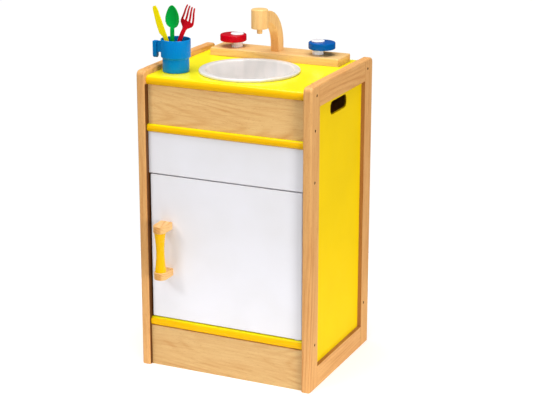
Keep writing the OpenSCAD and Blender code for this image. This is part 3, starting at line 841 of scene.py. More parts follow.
def post_piece(side, place):
    """One post: round-over on its free edges, a rounded top corner and its screw holes."""
    sizes = bpy.context.scene.kitchen_sizes
    node = f"{side}_{place}_post"
    low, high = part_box(node)
    foot_edge, foot_corner = 1.2 * MM, 1.5 * MM
    free_y, joint_y = (low.y, high.y) if place == "front" else (high.y, low.y)
    corners = [(joint_y, low.z), (free_y, low.z), (free_y, high.z), (joint_y, high.z)]
    outline = fillet(corners, [0, 0, sizes.corner, 0], steps=10)

    def ease(point, crosswise):
        at_foot = near(point.z, low.z)
        if crosswise:
            return foot_corner if at_foot and near(point.y, free_y) else 0.0
        if near(point.y, joint_y):
            return sizes.joint_edge
        return foot_edge if at_foot else sizes.post_edge

    piece = eased_plate(node, outline, (low, high), 0, ease, segments=5)
    outer, inner, outward = outer_and_inner(side, low, high)
    cutter = bmesh.new()
    for box in solids_of(f"{side}_frame_screws"):
        centre = middle(box)
        if low.y < centre.y < high.y:
            start = (inner - outward * MM, centre.y, centre.z)
            bore(cutter, SCREW_HOLE_R, start, (outer, centre.y, centre.z), sizes.hole_flare)
    return node, combine(piece, cutter)


def frame_screws_piece(side, finish):
    """The frame's dark screws, each with a long head and a hexagon socket, sunk in the post."""
    node = f"{side}_frame_screws"
    shank_r, head_r, socket_r = 1.8 * MM, SCREW_HOLE_R - HAIR, 1.3 * MM
    head_length, proud, socket_depth = 14 * MM, 1.5 * MM, 3 * MM
    bm = bmesh.new()
    sockets = bmesh.new()
    for low, high in solids_of(node):
        centre = middle((low, high))
        outer, inner, outward = outer_and_inner(side, low, high)
        out = (outward, 0, 0)
        step = abs(outer - inner) - head_length
        end = abs(outer - inner) + proud
        corners = [(0, 0), (shank_r, 0), (shank_r, step), (head_r, step), (head_r, end), (0, end)]
        profile = fillet(corners, [0, 0.6 * MM, 0, 0, 0.4 * MM, 0], steps=3, closed=False)
        turned(bm, profile, (inner, centre.y, centre.z), out, segments=32)
        hexagon = [(0, 0), (socket_r, 0), (socket_r, socket_depth + MM), (0, socket_depth + MM)]
        start = (outer + outward * (proud - socket_depth), centre.y, centre.z)
        turned(sockets, hexagon, start, out, segments=6)
    return fit(combine(piece_from(bm, node + "_piece"), sockets), node, finish)


def rail_piece(side, place):
    """One rail: its free long edges are rounded over, the edges beside the panel only eased."""
    sizes = bpy.context.scene.kitchen_sizes
    node = f"{side}_{place}_rail"
    low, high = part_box(node)
    foot_edge, panel_edge = 1.2 * MM, 1.0 * MM
    free_z, free_edge = (high.z, sizes.post_edge) if place == "top" else (low.z, foot_edge)

    def ease(point, crosswise):
        if crosswise:
            return 0.0
        if near(point.z, free_z):
            return free_edge
        at_end = near(point.y, low.y) or near(point.y, high.y)
        return sizes.joint_edge if at_end else panel_edge

    return node, board(node, ease)


def side_panel_piece(side):
    """A lacquered panel with its hand hole, rounded at the mouth and wider on the inside."""
    node = f"{side}_side_panel"
    margin, corner, lip, past = 4 * MM, 10 * MM, 0.9 * MM, 5 * MM
    front_splay, back_splay = -2 * MM, 14 * MM
    low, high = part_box(node)
    openings = frame["record"]["physics"]["openings"]
    hole = next(o["box_m"] for o in openings if o["name"] == f"{side}_hand_hole")
    grow = Vector((0, margin, margin))
    hole_low, hole_high = Vector(hole[0]) - grow, Vector(hole[1]) + grow
    middle_y = middle((hole_low, hole_high)).y
    inner = outer_and_inner(side, low, high)[1]
    bm = bmesh.new()
    plate(bm, box_outline(low, high, 0), low.x, high.x, 0)
    cutter = bmesh.new()
    outline = fillet(box_outline(hole_low, hole_high, 0), [corner] * 4, steps=8)
    plate(cutter, outline, low.x - past, high.x + past, 0)
    for vert in cutter.verts:
        if abs(vert.co.x) < abs(inner):
            vert.co.y += back_splay if vert.co.y > middle_y else front_splay
    piece = combine(piece_from(bm, node + "_piece"), cutter)
    return node, round_edges(piece, lip, segments=4)


class KITCHEN_OT_side_frames(bpy.types.Operator):
    """Builds the posts and rails of both side frames"""

    bl_idname = "kitchen.side_frames"
    bl_label = "Side frames"

    def execute(self, context):
        seed = 1.0
        for side in ("left", "right"):
            into_cupboard = (1, 0, 0) if side == "left" else (-1, 0, 0)
            # Faces of each frame piece that get painted shade, where they look into the cupboard's recess.
            shaded_facings = {
                "front_post": into_cupboard, "back_post": (0, -1, 0),
                "top_rail": (0, 0, -1), "bottom_rail": (0, 0, 1),
            }
            made = [post_piece(side, place) for place in ("front", "back")]
            made += [rail_piece(side, place) for place in ("top", "bottom")]
            for node, piece in made:
                heart = (0, 0.035 + 0.01 * math.sin(seed), -0.06)
                shaded_facing = shaded_facings[node.removeprefix(side + "_")]
                finish = wood(node + "_beech", node, seed, heart, rings=150, figure=0.42, taper=0.012,
                              shaded_facing=shaded_facing)
                fit(flatten_normals(piece), node, finish)
                seed += 1.37
        return {"FINISHED"}


class KITCHEN_OT_side_panels(bpy.types.Operator):
    """Builds the two yellow side panels with their hand holes"""

    bl_idname = "kitchen.side_panels"
    bl_label = "Side panels"

    def execute(self, context):
        for side in ("left", "right"):
            node, piece = side_panel_piece(side)
            finish = lacquer(node + "_lacquer", colour_of("yellow"), roughness=0.34, specular=0.15)
            fit(flatten_normals(piece), node, finish)
        return {"FINISHED"}


def round_fronted(node):
    """A board whose front edge is a half round."""
    low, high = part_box(node)
    radius = (high.z - low.z) / 2 - HAIR
    outline = fillet(box_outline(low, high, 0), [radius, 0, 0, radius], steps=12)
    bm = bmesh.new()
    plate(bm, outline, low.x, high.x, 0)
    return realise(piece_from(bm, node + "_piece"), sharp=40)


class KITCHEN_OT_worktop(bpy.types.Operator):
    """Builds the yellow worktop with its round cut-out"""

    bl_idname = "kitchen.worktop"
    bl_label = "Worktop"

    def execute(self, context):
        low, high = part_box("worktop")
        under_rim = 7.5 * MM
        cutter = bmesh.new()
        for pin, gap in (("basin", -under_rim), ("spout_axle", AXLE_GAP)):
            bore_for(cutter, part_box(pin), gap, low.z - MM, high.z + MM)
        piece = combine(round_fronted("worktop"), cutter)
        fit(flatten_normals(piece), "worktop", yellow_board("worktop"))
        return {"FINISHED"}


class KITCHEN_OT_basin(bpy.types.Operator):
    """Builds the moulded white basin"""

    bl_idname = "kitchen.basin"
    bl_label = "Basin"

    def execute(self, context):
        wall = context.scene.kitchen_sizes.basin_wall
        low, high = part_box("basin")
        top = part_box("worktop")[1].z
        rim_width, slope = 9 * MM, 22 * MM
        rim_r = radius_of((low, high))
        bowl_r = rim_r - rim_width
        foot_r = bowl_r - slope
        corners = [
            (0, low.z), (foot_r, low.z), (bowl_r, top), (rim_r, top), (rim_r, high.z),
            (bowl_r - wall - MM, high.z), (foot_r - wall, low.z + wall), (0, low.z + wall),
        ]
        radii = [0, 14 * MM, 0, 2.6 * MM, 2.9 * MM, 5 * MM, 16 * MM, 0]
        profile = fillet(corners, radii, steps=8, closed=False)
        piece = realise(turned_piece("basin", profile, middle((low, high)), segments=160))
        finish = plastic("basin_plastic", colour_of("basin"), roughness=0.16, specular=0.4)
        fit(piece, "basin", finish)
        return {"FINISHED"}


class KITCHEN_OT_tap_ledge(bpy.types.Operator):
    """Builds the wooden ledge behind the basin"""

    bl_idname = "kitchen.tap_ledge"
    bl_label = "Tap ledge"

    def execute(self, context):
        sizes = context.scene.kitchen_sizes
        low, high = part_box("tap_ledge")
        bottom_edge = 0.8 * MM

        def ease(point, crosswise):
            at_bottom = near(point.z, low.z) and not crosswise
            return bottom_edge if at_bottom else sizes.ledge_edge

        piece = board("tap_ledge", ease)
        cutter = bmesh.new()
        bore_for(cutter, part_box("spout_axle"), AXLE_GAP, low.z - MM, high.z + MM)
        combine(piece, cutter)
        finish = wood("ledge_beech", "tap_ledge", 4.2, (0, 0.02, -0.045), stock="pale", rings=190,
                      figure=0.40, tone=0.97, taper=0.03, gloss=0.30)
        fit(flatten_normals(piece), "tap_ledge", finish)
        return {"FINISHED"}


def arc(centre, radius, start, end, steps=28):
    """Points along part of a circle, with both ends."""
    angles = [start + (end - start) * k / steps for k in range(steps + 1)]
    return [(centre[0] + radius * math.cos(a), centre[1] + radius * math.sin(a)) for a in angles]


def arm_outline(low, high):
    """Side view of the spout's arm: a straight foot, a quarter bend and a short level end."""
    foot_height = 14 * MM
    thickness = 2 * (high.y - middle(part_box("spout_axle")).y)
    outer_r = high.z - low.z - foot_height
    bend = (high.y - outer_r, high.z - outer_r)
    end_y = middle(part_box("spout_head")).y
    quarter = math.pi / 2
    return [
        (high.y, low.z), *arc(bend, outer_r, 0, quarter),
        (end_y, high.z), (end_y, high.z - thickness),
        *arc(bend, outer_r - thickness, quarter, 0), (high.y - thickness, low.z),
    ]


class KITCHEN_OT_spout(bpy.types.Operator):
    """Builds the spout: bent arm, round head and nozzle"""

    bl_idname = "kitchen.spout"
    bl_label = "Spout"

    def execute(self, context):
        sizes = context.scene.kitchen_sizes
        low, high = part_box("spout_arm")
        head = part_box("spout_head")
        centre, head_r = middle(head), radius_of(head)
        bottom, top = head[0].z, head[1].z
        past = 5 * MM

        def ease(point, crosswise):
            if crosswise or near(point.z, low.z) or near(point.y, centre.y):
                return 0.0
            return sizes.arm_edge

        arm = eased_plate("spout_arm", arm_outline(low, high), (low, high), 0, ease)
        cutter = bmesh.new()
        bore_for(cutter, head, -0.3 * MM, bottom - past, top + past)
        combine(arm, cutter)
        # The arm's forward faces get painted shade.
        finish = wood("arm_beech", "spout_arm", 7.7, (0, 0.0, -0.05), stock="pale", rings=160, figure=0.40,
                      tone=1.02, grain=2, shaded_facing=(0, -1, 0), shade=PAINTED_FRONT_SHADE)
        fit(flatten_normals(arm), "spout_arm", finish)

        corners = [(0, bottom), (head_r, bottom), (head_r, top), (0, top)]
        profile = fillet(corners, [0, 1.4 * MM, 1.8 * MM, 0], closed=False)
        finish = wood("head_beech", "spout_head", 2.9, (0, 0.012, -0.02), stock="pale", rings=210,
                      figure=0.34, tone=1.05, grain=2, gloss=0.30)
        fit(realise(turned_piece("spout_head", profile, centre)), "spout_head", finish)

        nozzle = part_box("spout_nozzle")
        tip, root, nozzle_r = nozzle[0].z, bottom + MM, radius_of(nozzle)
        corners = [(0, tip), (nozzle_r, tip), (nozzle_r, root), (0, root)]
        profile = fillet(corners, [0, 0.8 * MM, 0, 0], closed=False)
        finish = wood("nozzle_beech", "spout_nozzle", 5.1, (0, 0.01, -0.01), stock="pale", rings=260,
                      figure=0.45, grain=2)
        fit(realise(turned_piece("spout_nozzle", profile, centre, segments=64)), "spout_nozzle", finish)
        return {"FINISHED"}


def knob_piece(side, finish):
    """A round knob with eased rims and a slightly crowned top, bored off centre for its peg."""
    rim = bpy.context.scene.kitchen_sizes.knob_edge
    name = f"{side}_knob"
    crown, running_gap = 0.3 * MM, 0.08 * MM
    low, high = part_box(name)
    peg = middle(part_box(f"{side}_peg"))
    radius = radius_of((low, high))
    corners = [(0, low.z), (radius, low.z), (radius, high.z - crown), (0, high.z)]
    profile = fillet(corners, [0, rim, rim, 0], steps=8, closed=False)
    piece = turned_piece(name, profile, middle((low, high)), segments=128)
    cutter = bmesh.new()
    bore(cutter, PEG_R + running_gap, (peg.x, peg.y, low.z - MM), (peg.x, peg.y, high.z + MM))
    return fit(combine(piece, cutter), name, finish)


def peg_pieces(side, finish):
    """A capped peg and the collar that holds its knob clear of the ledge."""
    peg = f"{side}_peg"
    low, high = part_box(peg)
    cap_r = radius_of((low, high))
    cap_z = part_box(f"{side}_knob")[1].z + 0.3 * MM
    corners = [(0, low.z), (PEG_R, low.z), (PEG_R, cap_z), (cap_r, cap_z), (cap_r, high.z), (0, high.z)]
    profile = fillet(corners, [0, 0.6 * MM, 0, 0.5 * MM, 1.5 * MM, 0], closed=False)
    fit(realise(turned_piece(peg, profile, middle((low, high)))), peg, finish)
    collar = f"{side}_collar"
    low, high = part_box(collar)
    collar_r = radius_of((low, high))
    corners = [(PEG_R, low.z), (collar_r, low.z), (collar_r, high.z), (PEG_R, high.z)]
    profile = fillet(corners, [0.1 * MM, 0.6 * MM, 0.6 * MM, 0.1 * MM], steps=4)
    fit(realise(turned_piece(collar, profile, middle((low, high)), closed=True)), collar, finish)


class KITCHEN_OT_taps(bpy.types.Operator):
    """Builds the hot and cold knobs with their pegs and collars"""

    bl_idname = "kitchen.taps"
    bl_label = "Tap knobs"

    def execute(self, context):
        for side, colour in (("hot", "red"), ("cold", "blue")):
            finish = lacquer(f"{side}_{colour}", colour_of(colour), roughness=0.10, peel=0.6, specular=0.14)
            knob_piece(side, finish)
        white = lacquer("peg_white", colour_of("white"), roughness=0.18)
        peg_pieces("hot", white)
        peg_pieces("cold", white)
        return {"FINISHED"}


class KITCHEN_OT_front_boards(bpy.types.Operator):
    """Builds the fascia, batten, upper panel, bottom shelf, plinth and back panel"""

    bl_idname = "kitchen.front_boards"
    bl_label = "Front boards and back"

    def execute(self, context):
        sizes = context.scene.kitchen_sizes
        thin_edge = 0.6 * MM

        def wooden_board(node, finish):
            piece = board(node, lambda point, crosswise: thin_edge)
            fit(flatten_normals(piece), node, finish)

        wooden_board("fascia", wood(
            "fascia_beech", "fascia", 3.3, (0, 0.035, -0.012), stock="pale", rings=140, figure=0.42,
            taper=0.11))
        wooden_board("plinth", wood(
            "plinth_beech", "plinth", 9.1, (0, 0.03, 0.014), stock="pale", rings=150, figure=0.42,
            tone=0.82, taper=-0.13, knot=(-0.142, 0.012, 0.0)))
        for node in ("front_batten", "bottom_shelf"):
            fit(flatten_normals(round_fronted(node)), node, yellow_board(node))
        panel = board("upper_panel", lambda point, crosswise: sizes.board_edge)
        fit(flatten_normals(panel), "upper_panel", laminate("upper_panel"))
        wooden_board("back_panel", wood(
            "back_ply", "back_panel", 6.4, (0, 0.05, -0.02), stock="pale", rings=60, figure=0.35,
            tone=0.98, gloss=0.5))
        return {"FINISHED"}


class KITCHEN_OT_door(bpy.types.Operator):
    """Builds the white door, bored for its pivot pins"""

    bl_idname = "kitchen.door"
    bl_label = "Door"

    def execute(self, context):
        edge = context.scene.kitchen_sizes.board_edge
        hinge_edge, pin_gap, past = 2.5 * MM, 0.08 * MM, 2 * MM
        low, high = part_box("door")
        outline = fillet(box_outline(low, high, 2), [edge, hinge_edge, hinge_edge, edge], steps=4)
        piece = eased_plate("door", outline, (low, high), 2,
                            lambda point, crosswise: 0.0 if crosswise else edge, segments=3)
        cutter = bmesh.new()
        for pin in solids_of("door_pivot_pins"):
            bore_for(cutter, pin, pin_gap, max(pin[0].z, low.z) - past, min(pin[1].z, high.z) + past)
        combine(piece, cutter)
        fit(flatten_normals(piece), "door", laminate("door"))
        return {"FINISHED"}


def handle_block_piece(node):
    """One end block: square at the door, round at the front."""
    edge = bpy.context.scene.kitchen_sizes.block_edge
    door_corner = 0.4 * MM
    low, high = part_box(node)
    front_r = radius_of((low, high)) - HAIR
    outline = fillet(box_outline(low, high, 2), [front_r, front_r, 0, 0], steps=14)

    def ease(point, crosswise):
        if near(point.y, high.y):
            return door_corner if crosswise else 0.0
        return 0.0 if crosswise else edge

    return eased_plate(node, outline, (low, high), 2, ease)


def grip_profile(low, high, radius):
    """The waisted grip's profile, with a spigot at each end for the blocks."""
    waist, spigot_r, gap, end_edge = 3.3 * MM, 4.5 * MM, 0.1 * MM, 0.6 * MM
    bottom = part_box("handle_lower_block")[1].z
    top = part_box("handle_upper_block")[0].z
    half = (top - bottom) / 2
    arc_r = (half * half + waist * waist) / (2 * waist)
    steps = 40
    profile = [(0, low.z), (spigot_r, low.z), (spigot_r, bottom + gap)]
    for k in range(steps + 1):
        along = -half + 2 * half * k / steps
        swell = arc_r - math.sqrt(arc_r * arc_r - along * along)
        eased = end_edge if k in (0, steps) else 0.0
        height = (low.z + high.z) / 2 + along + math.copysign(gap, -along)
        profile.append((radius - waist + swell - eased, height))
    return profile + [(spigot_r, top - gap), (spigot_r, high.z), (0, high.z)]


class KITCHEN_OT_handle(bpy.types.Operator):
    """Builds the door handle: two end blocks and a waisted grip"""

    bl_idname = "kitchen.handle"
    bl_label = "Door handle"

    def execute(self, context):
        for seed, node in enumerate(("handle_upper_block", "handle_lower_block")):
            # The blocks' forward faces, which are end grain, get a darker tint that is painted shade as
            # well as end grain.
            finish = wood(node + "_beech", node, 2.3 + seed, (0, 0.02, -0.03), stock="pale", rings=220,
                          figure=0.40, shaded_facing=(0, -1, 0), shade=PAINTED_FRONT_SHADE, grain=1)
            fit(flatten_normals(handle_block_piece(node)), node, finish)
        low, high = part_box("handle_grip")
        profile = grip_profile(low, high, radius_of((low, high)))
        piece = realise(turned_piece("handle_grip", profile, middle((low, high))))
        # Painted light on the grip: its upper side takes the plain yellow, and the rest takes the darker
        # painted-shade yellow.
        colours = {"colour": colour_of("yellow_shaded_front"), "above": colour_of("yellow")}
        fit(piece, "handle_grip", lacquer("grip_lacquer", roughness=0.26, **colours))
        return {"FINISHED"}


def cup_profile(low, high, top_r, wall):
    """The cup's wall: a foot ring, a narrower lower part, a step and a plain rim."""
    foot_r, ring, foot_gap, floor = top_r - 3.1 * MM, 5 * MM, 1.0 * MM, 2.6 * MM
    step = low.z + 26.5 * MM
    shoulder = step + 3 * MM
    corners = [
        (0, low.z + foot_gap), (foot_r - ring, low.z + foot_gap), (foot_r - ring - 0.5 * MM, low.z),
        (foot_r, low.z), (foot_r, step), (top_r, shoulder), (top_r, high.z),
        (top_r - wall, high.z), (top_r - wall, shoulder), (foot_r - wall, step),
        (foot_r - wall, low.z + floor), (0, low.z + floor),
    ]
    radii = [0, 0.4, 0.4, 2.2, 1.2, 1.6, 1.0, 1.0, 1.4, 1.0, 2.5, 0]
    return fillet(corners, [radius * MM for radius in radii], steps=5, closed=False)


class KITCHEN_OT_cup(bpy.types.Operator):
    """Builds the stepped blue cup with its open hook"""

    bl_idname = "kitchen.cup"
    bl_label = "Cup"

    def execute(self, context):
        wall = context.scene.kitchen_sizes.cup_wall
        bar_depth, bar_width, web_width = 8.5 * MM, 10 * MM, 5 * MM
        bar_length, web_length, below_rim = 32.5 * MM, 21.5 * MM, 7 * MM
        low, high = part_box("cup")
        top_r = (high.y - low.y) / 2
        centre = Vector((high.x - top_r, middle((low, high)).y, 0))
        piece = turned_piece("cup", cup_profile(low, high, top_r, wall), centre, segments=128)

        top = high.z - below_rim
        bar_low = Vector((low.x, centre.y - bar_width / 2, top - bar_length))
        bar_high = Vector((low.x + bar_depth, centre.y + bar_width / 2, top))
        end_r = bar_width / 2 - HAIR
        outline = fillet(box_outline(bar_low, bar_high, 0), [end_r, end_r, 1 * MM, 1 * MM])
        bar = eased_plate("cup_bar", outline, (bar_low, bar_high), 0,
                          lambda point, crosswise: 0.0 if crosswise else 1.2 * MM, segments=3)
        combine(piece, loose_mesh(bar), "UNION")
        web_low = (low.x + bar_depth / 2, 0, top - web_length)
        web_high = (centre.x - top_r + wall / 2, 0, top)
        web = bmesh.new()
        plate(web, box_outline(web_low, web_high, 1), centre.y - web_width / 2, centre.y + web_width / 2, 1)
        combine(piece, web, "UNION")
        fit(piece, "cup", plastic("cup_plastic", colour_of("cup_blue"), roughness=0.24))
        return {"FINISHED"}


def utensil_stand(node):
    """Where a utensil's foot stands, the direction that it points in, and its length."""
    axis = Vector(JOINT[node + "_pull"]["axis"]).normalized()
    places = [v.co for v in NODES[node].data.vertices]
    along = [p.dot(axis) for p in places]
    start = min(along)
    foot = [p for p, a in zip(places, along) if a < start + 1 * MM]
    return sum(foot, Vector()) / len(foot), axis, max(along) - start


def utensil(node, outline, thickness, shape, finish, edge):
    """A moulded utensil: its outline, drawn upright, is sliced, shaped, thickened and set in the cup.

    outline(length) gives its points, and shape(x, z, length) how far the middle surface stands off
    its plane at a point.
    """
    origin, axis, length = utensil_stand(node)
    slice_step, slice_start = 2.0 * MM, 0.37 * MM
    tallest, half_width = 140 * MM, 18 * MM
    bm = bmesh.new()
    bm.faces.new([bm.verts.new((x, 0, z)) for x, z in outline(length)])
    for direction, low, high in (((0, 0, 1), 0.0, tallest), ((1, 0, 0), -half_width, half_width)):
        for k in range(int((high - low) / slice_step) + 1):
            point = Vector(direction) * (low + k * slice_step + slice_start)
            parts = bm.verts[:] + bm.edges[:] + bm.faces[:]
            bmesh.ops.bisect_plane(bm, geom=parts, plane_co=point, plane_no=direction)
    for vert in bm.verts:
        vert.co.y = shape(vert.co.x, vert.co.z, length)
    side = Vector((0, 1, 0)).cross(axis).normalized()
    stand = Matrix((side, Vector((0, 1, 0)), axis)).transposed()
    bmesh.ops.transform(bm, matrix=Matrix.Translation(origin) @ stand.to_4x4(), verts=bm.verts)
    piece = piece_from(bm, node + "_piece")
    solid = piece.modifiers.new("thickness", "SOLIDIFY")
    solid.thickness = thickness
    solid.offset = 0
    solid.use_even_offset = True
    realise(piece)
    return fit(round_edges(piece, edge, segments=3, angle=50), node, finish)


def knife_outline(length):
    """A table knife: slim handle, straight back and a broad blade that narrows to a blunt tip."""
    mm = length / 130
    corners = [(-3.6, 0), (3.6, 0), (4.1, 60), (4.1, 122), (2.2, 130), (-3.4, 130), (-5.4, 124),
               (-8.8, 96), (-9.2, 78), (-4.1, 68)]
    radii = [2, 2, 40, 8, 2, 2.5, 20, 10, 3, 6]
    return fillet([(x * mm, z * mm) for x, z in corners], [r * mm for r in radii], steps=5)


def spoon_outline(length):
    """A spoon: straight handle and an egg-shaped bowl, broadest near the handle."""
    half_w, half_l, fullness = 14 * MM, 22 * MM, 0.28
    neck, neck_z = 4.2 * MM, 44 * MM
    foot = [(3 * MM, 2 * MM), (1.6 * MM, 0)]
    points = [(neck, neck_z), *foot, *[(-x, z) for x, z in foot[::-1]], (-neck, neck_z)]
    first = math.asin(neck / (half_w * (1 + fullness)))
    steps = 44
    for k in range(steps + 1):
        angle = math.pi + first + (2 * math.pi - 2 * first) * k / steps
        egg = 1 - fullness * math.cos(angle)
        points.append((half_w * egg * math.sin(angle), length - half_l + half_l * math.cos(angle)))
    return points


def spoon_dish(x, z, length):
    """The hollow of the spoon's bowl."""
    from_tip, half_l, half_w, depth = 24 * MM, 22 * MM, 14.4 * MM, 4.2 * MM
    reach = ((z - length + from_tip) / half_l) ** 2 + (x / half_w) ** 2
    return depth * max(0.0, 1 - reach) ** 0.8


def fork_outline(length):
    """A fork: handle, rounded palm and four tapering tines."""
    root = length - 33 * MM
    tip_pitch, root_pitch, notch = 5.4 * MM, 7.9 * MM, 1.2 * MM
    tip_half, tip_bevel, root_half = 1.15 * MM, 1.5 * MM, 1.8 * MM
    handle = [(1.6 * MM, 0), (3 * MM, 1.5 * MM), (4 * MM, 50 * MM)]
    palm = [(4, 18), (5.4, 14.5), (9.2, 11), (12.4, 8), (13.8, 4)]
    half = handle + [(x * MM, root - below * MM) for x, below in palm]
    tines = []
    for i in range(4):
        at_tip, at_root = (1.5 - i) * tip_pitch, (1.5 - i) * root_pitch
        tines += [
            (at_root + root_half, root), (at_tip + tip_half, length - tip_bevel), (at_tip, length),
            (at_tip - tip_half, length - tip_bevel), (at_root - root_half, root),
        ]
        if i < 3:
            tines.append((at_root - root_pitch / 2, root - notch))
    return half + tines + [(-x, z) for x, z in half[::-1]]


def fork_bend(x, z, length):
    """The bend of the fork's neck and the return of its tips, the same all across its width."""
    curved, lift = 60 * MM, 4.5 * MM
    beyond = max(0.0, (z - length + curved) / curved)
    return lift * math.sin(math.pi * min(1.0, beyond * 1.25)) - lift * beyond ** 3


class KITCHEN_OT_cutlery(bpy.types.Operator):
    """Builds the knife, spoon and fork that stand in the cup"""

    bl_idname = "kitchen.cutlery"
    bl_label = "Cutlery"

    def execute(self, context):
        yellow = plastic("knife_plastic", colour_of("knife_yellow"), roughness=0.26)
        utensil("knife", knife_outline, 2.6 * MM, lambda x, z, length: 0.0, yellow, 0.7 * MM)
        green = plastic("spoon_plastic", colour_of("spoon_green"), roughness=0.22)
        utensil("spoon", spoon_outline, 2.0 * MM, spoon_dish, green, 0.7 * MM)
        red = plastic("fork_plastic", colour_of("fork_red"), roughness=0.24)
        utensil("fork", fork_outline, 2.4 * MM, fork_bend, red, 0.6 * MM)
        return {"FINISHED"}


class KITCHEN_OT_fittings(bpy.types.Operator):
    """Builds the frame screws, and gives the other fittings of the frame their finishes"""

    bl_idname = "kitchen.fittings"
    bl_label = "Fittings"

    def execute(self, context):
        # Near-black steel for the screws: partly blackened steel, partly painted shade of the holes they
        # sit in.
        dark = steel("blackened_steel_and_hole_shade", (0.010, 0.006, 0.005, 1), 0.60)
        bright = steel("plated_steel", (0.60, 0.60, 0.61, 1), 0.30)
        catch = plastic("catch_plastic", (0.82, 0.82, 0.79, 1), 0.42)
        finishes = {
            "ledge_screws": dark,
            "door_pivot_pins": bright, "catch_screws": bright, "strike_plate": bright,
            "handle_screws": bright, "spout_washer": bright,
            "door_spacer": catch, "magnetic_catch": catch,
            "left_dowels": wood("left_dowel_beech", "left_dowels", 1.9, rings=240, grain=1, gloss=0.55),
            "right_dowels": wood("right_dowel_beech", "right_dowels", 2.6, rings=240, grain=1, gloss=0.55),
            "spout_axle": wood("axle_beech", "spout_axle", 3.8, rings=240, gloss=0.5),
        }
        for side in ("left", "right"):
            frame_screws_piece(side, dark)
        for node, finish in finishes.items():
            mesh = NODES[node].data
            mesh.materials.clear()
            mesh.materials.append(finish)
        return {"FINISHED"}


# ---------------------------------------------------------------- stage


def place_in_scene(name, data, location, toward):
    """A new object at a location, with its -Z looking along toward."""
    holder = bpy.data.objects.new(name, data)
    holder.location = location
    holder.rotation_euler = toward.to_track_quat("-Z", "Y").to_euler()
    bpy.context.scene.collection.objects.link(holder)
    return holder


def add_camera(stage):
    """The camera, turned and raised about its aim."""
    level = math.cos(stage.elevation)
    across = (math.sin(stage.azimuth) * level, -math.cos(stage.azimuth) * level)
    back = Vector((*across, math.sin(stage.elevation)))
    camera = bpy.data.cameras.new("camera")
    camera.lens = stage.lens
    camera.sensor_width = 36.0
    camera.clip_end = 50.0
    place = Vector(stage.aim) + back * stage.distance
    bpy.context.scene.camera = place_in_scene("camera", camera, place, -back)


def soft_light(name, place, aim, size, power, height=None):
    """A square or tall soft light that faces its aim."""
    light = bpy.data.lights.new(name, "AREA")
    light.energy = power
    light.size = size
    if height:
        light.shape = "RECTANGLE"
        light.size_y = height
    return place_in_scene(name, light, place, Vector(aim) - Vector(place))


def add_lights(stage):
    """Broad lights, of which the key and side lights leave no reflections of their own, and a small one
    seen only in reflections.
    """
    key = soft_light("key_light", (-1.7, -2.3, 2.2), stage.aim, 0.9, stage.key_power)
    key.visible_glossy = False
    soft_light("top_light", (0.1, -0.3, 2.8), (0.0, 0.0, 0.3), 2.0, stage.top_power)
    side = soft_light("side_light", (2.7, -1.2, 0.55), stage.aim, 0.8, stage.side_power, height=0.9)
    side.visible_glossy = False
    glint = soft_light("glint_light", (1.6, -1.2, 2.6), (0.0, 0.0, 0.6), 0.35, stage.glint_power)
    glint.visible_diffuse = False


def add_surround(stage):
    """A surround that is white to look at, softer as a light and dim in reflections."""
    seen, mirrored = 1.02, 0.08
    world = bpy.data.worlds.new("white surround")
    world.use_nodes = True
    tree = world.node_tree
    rays = tree.nodes.new("ShaderNodeLightPath").outputs
    strength = calc(tree, "MULTIPLY_ADD", rays["Is Camera Ray"], seen - stage.sky, stage.sky)
    dimmed = calc(tree, "MULTIPLY", rays["Is Glossy Ray"], stage.sky - mirrored)
    feed(tree, tree.nodes["Background"].inputs, {
        "Color": (1.0, 1.0, 1.0, 1.0), "Strength": calc(tree, "SUBTRACT", strength, dimmed),
    })
    bpy.context.scene.world = world


def add_floor():
    """A round of pale paper that fades out towards its rim."""
    bm = bmesh.new()
    bmesh.ops.create_circle(bm, cap_ends=True, segments=96, radius=FLOOR_RADIUS)
    floor = piece_from(bm, "floor")
    material, tree, shader, place = new_material("floor_paper")
    tone = ramp(tree, noise(tree, place, (1.5, 1.5, 1.5)), 0.2, 0.8)
    out = vector_calc(tree, "LENGTH", place, result="Value")
    fade = ramp(tree, out, 0.3 * FLOOR_RADIUS, 0.8 * FLOOR_RADIUS)
    feed(tree, shader.inputs, {
        "Base Color": blend_colours(tree, tone, (0.87, 0.875, 0.88, 1), (0.89, 0.89, 0.89, 1)),
        "Alpha": calc(tree, "SUBTRACT", 1.0, fade),
        "Roughness": 0.8,
        "Specular IOR Level": 0.1,
        "Emission Color": (0.97, 0.985, 1.0, 1.0),
        "Emission Strength": 0.30,
    })
    floor.data.materials.append(material)
    floor.visible_glossy = False


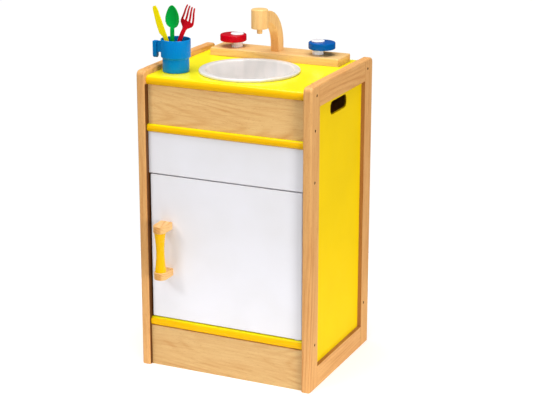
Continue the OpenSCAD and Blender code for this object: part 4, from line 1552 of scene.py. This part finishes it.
class KITCHEN_OT_stage(bpy.types.Operator):
    """Builds the camera, the soft lights, the white surround and the pale floor"""

    bl_idname = "kitchen.stage"
    bl_label = "Stage"

    def execute(self, context):
        stage = context.scene.kitchen_stage
        add_camera(stage)
        add_lights(stage)
        add_surround(stage)
        add_floor()
        context.scene.view_settings.view_transform = "Standard"
        return {"FINISHED"}


# ---------------------------------------------------------------- add-on


OPERATORS = [
    KITCHEN_OT_stage,
    KITCHEN_OT_side_frames,
    KITCHEN_OT_side_panels,
    KITCHEN_OT_worktop,
    KITCHEN_OT_basin,
    KITCHEN_OT_tap_ledge,
    KITCHEN_OT_spout,
    KITCHEN_OT_taps,
    KITCHEN_OT_front_boards,
    KITCHEN_OT_door,
    KITCHEN_OT_handle,
    KITCHEN_OT_cup,
    KITCHEN_OT_cutlery,
    KITCHEN_OT_fittings,
]


class KITCHEN_PT_sidebar(bpy.types.Panel):
    """Lists the pieces of the toy kitchen in the sidebar"""

    bl_idname = "KITCHEN_PT_sidebar"
    bl_label = "Toy Kitchen"
    bl_space_type = "VIEW_3D"
    bl_region_type = "UI"
    bl_category = "Toy Kitchen"

    def draw(self, context):
        for operator in OPERATORS:
            self.layout.operator(operator.bl_idname)
        for settings in ("kitchen_sizes", "kitchen_colours", "kitchen_stage"):
            box = self.layout.box()
            group = getattr(context.scene, settings)
            for name in group.__annotations__:
                box.prop(group, name)


SETTINGS = {
    "kitchen_sizes": KitchenSizes,
    "kitchen_colours": KitchenColours,
    "kitchen_stage": KitchenStage,
}


def register():
    for name, settings in SETTINGS.items():
        bpy.utils.register_class(settings)
        setattr(bpy.types.Scene, name, bpy.props.PointerProperty(type=settings))
    for made in OPERATORS + [KITCHEN_PT_sidebar]:
        bpy.utils.register_class(made)


def unregister():
    for made in [KITCHEN_PT_sidebar] + OPERATORS[::-1]:
        bpy.utils.unregister_class(made)
    for name, settings in SETTINGS.items():
        delattr(bpy.types.Scene, name)
        bpy.utils.unregister_class(settings)


def run_operator(operator):
    """Calls one of this file's operators by its name."""
    area, name = operator.bl_idname.split(".")
    getattr(getattr(bpy.ops, area), name)()


def main():
    register()
    for operator in OPERATORS:
        run_operator(operator)


if __name__ == "__main__":
    main()
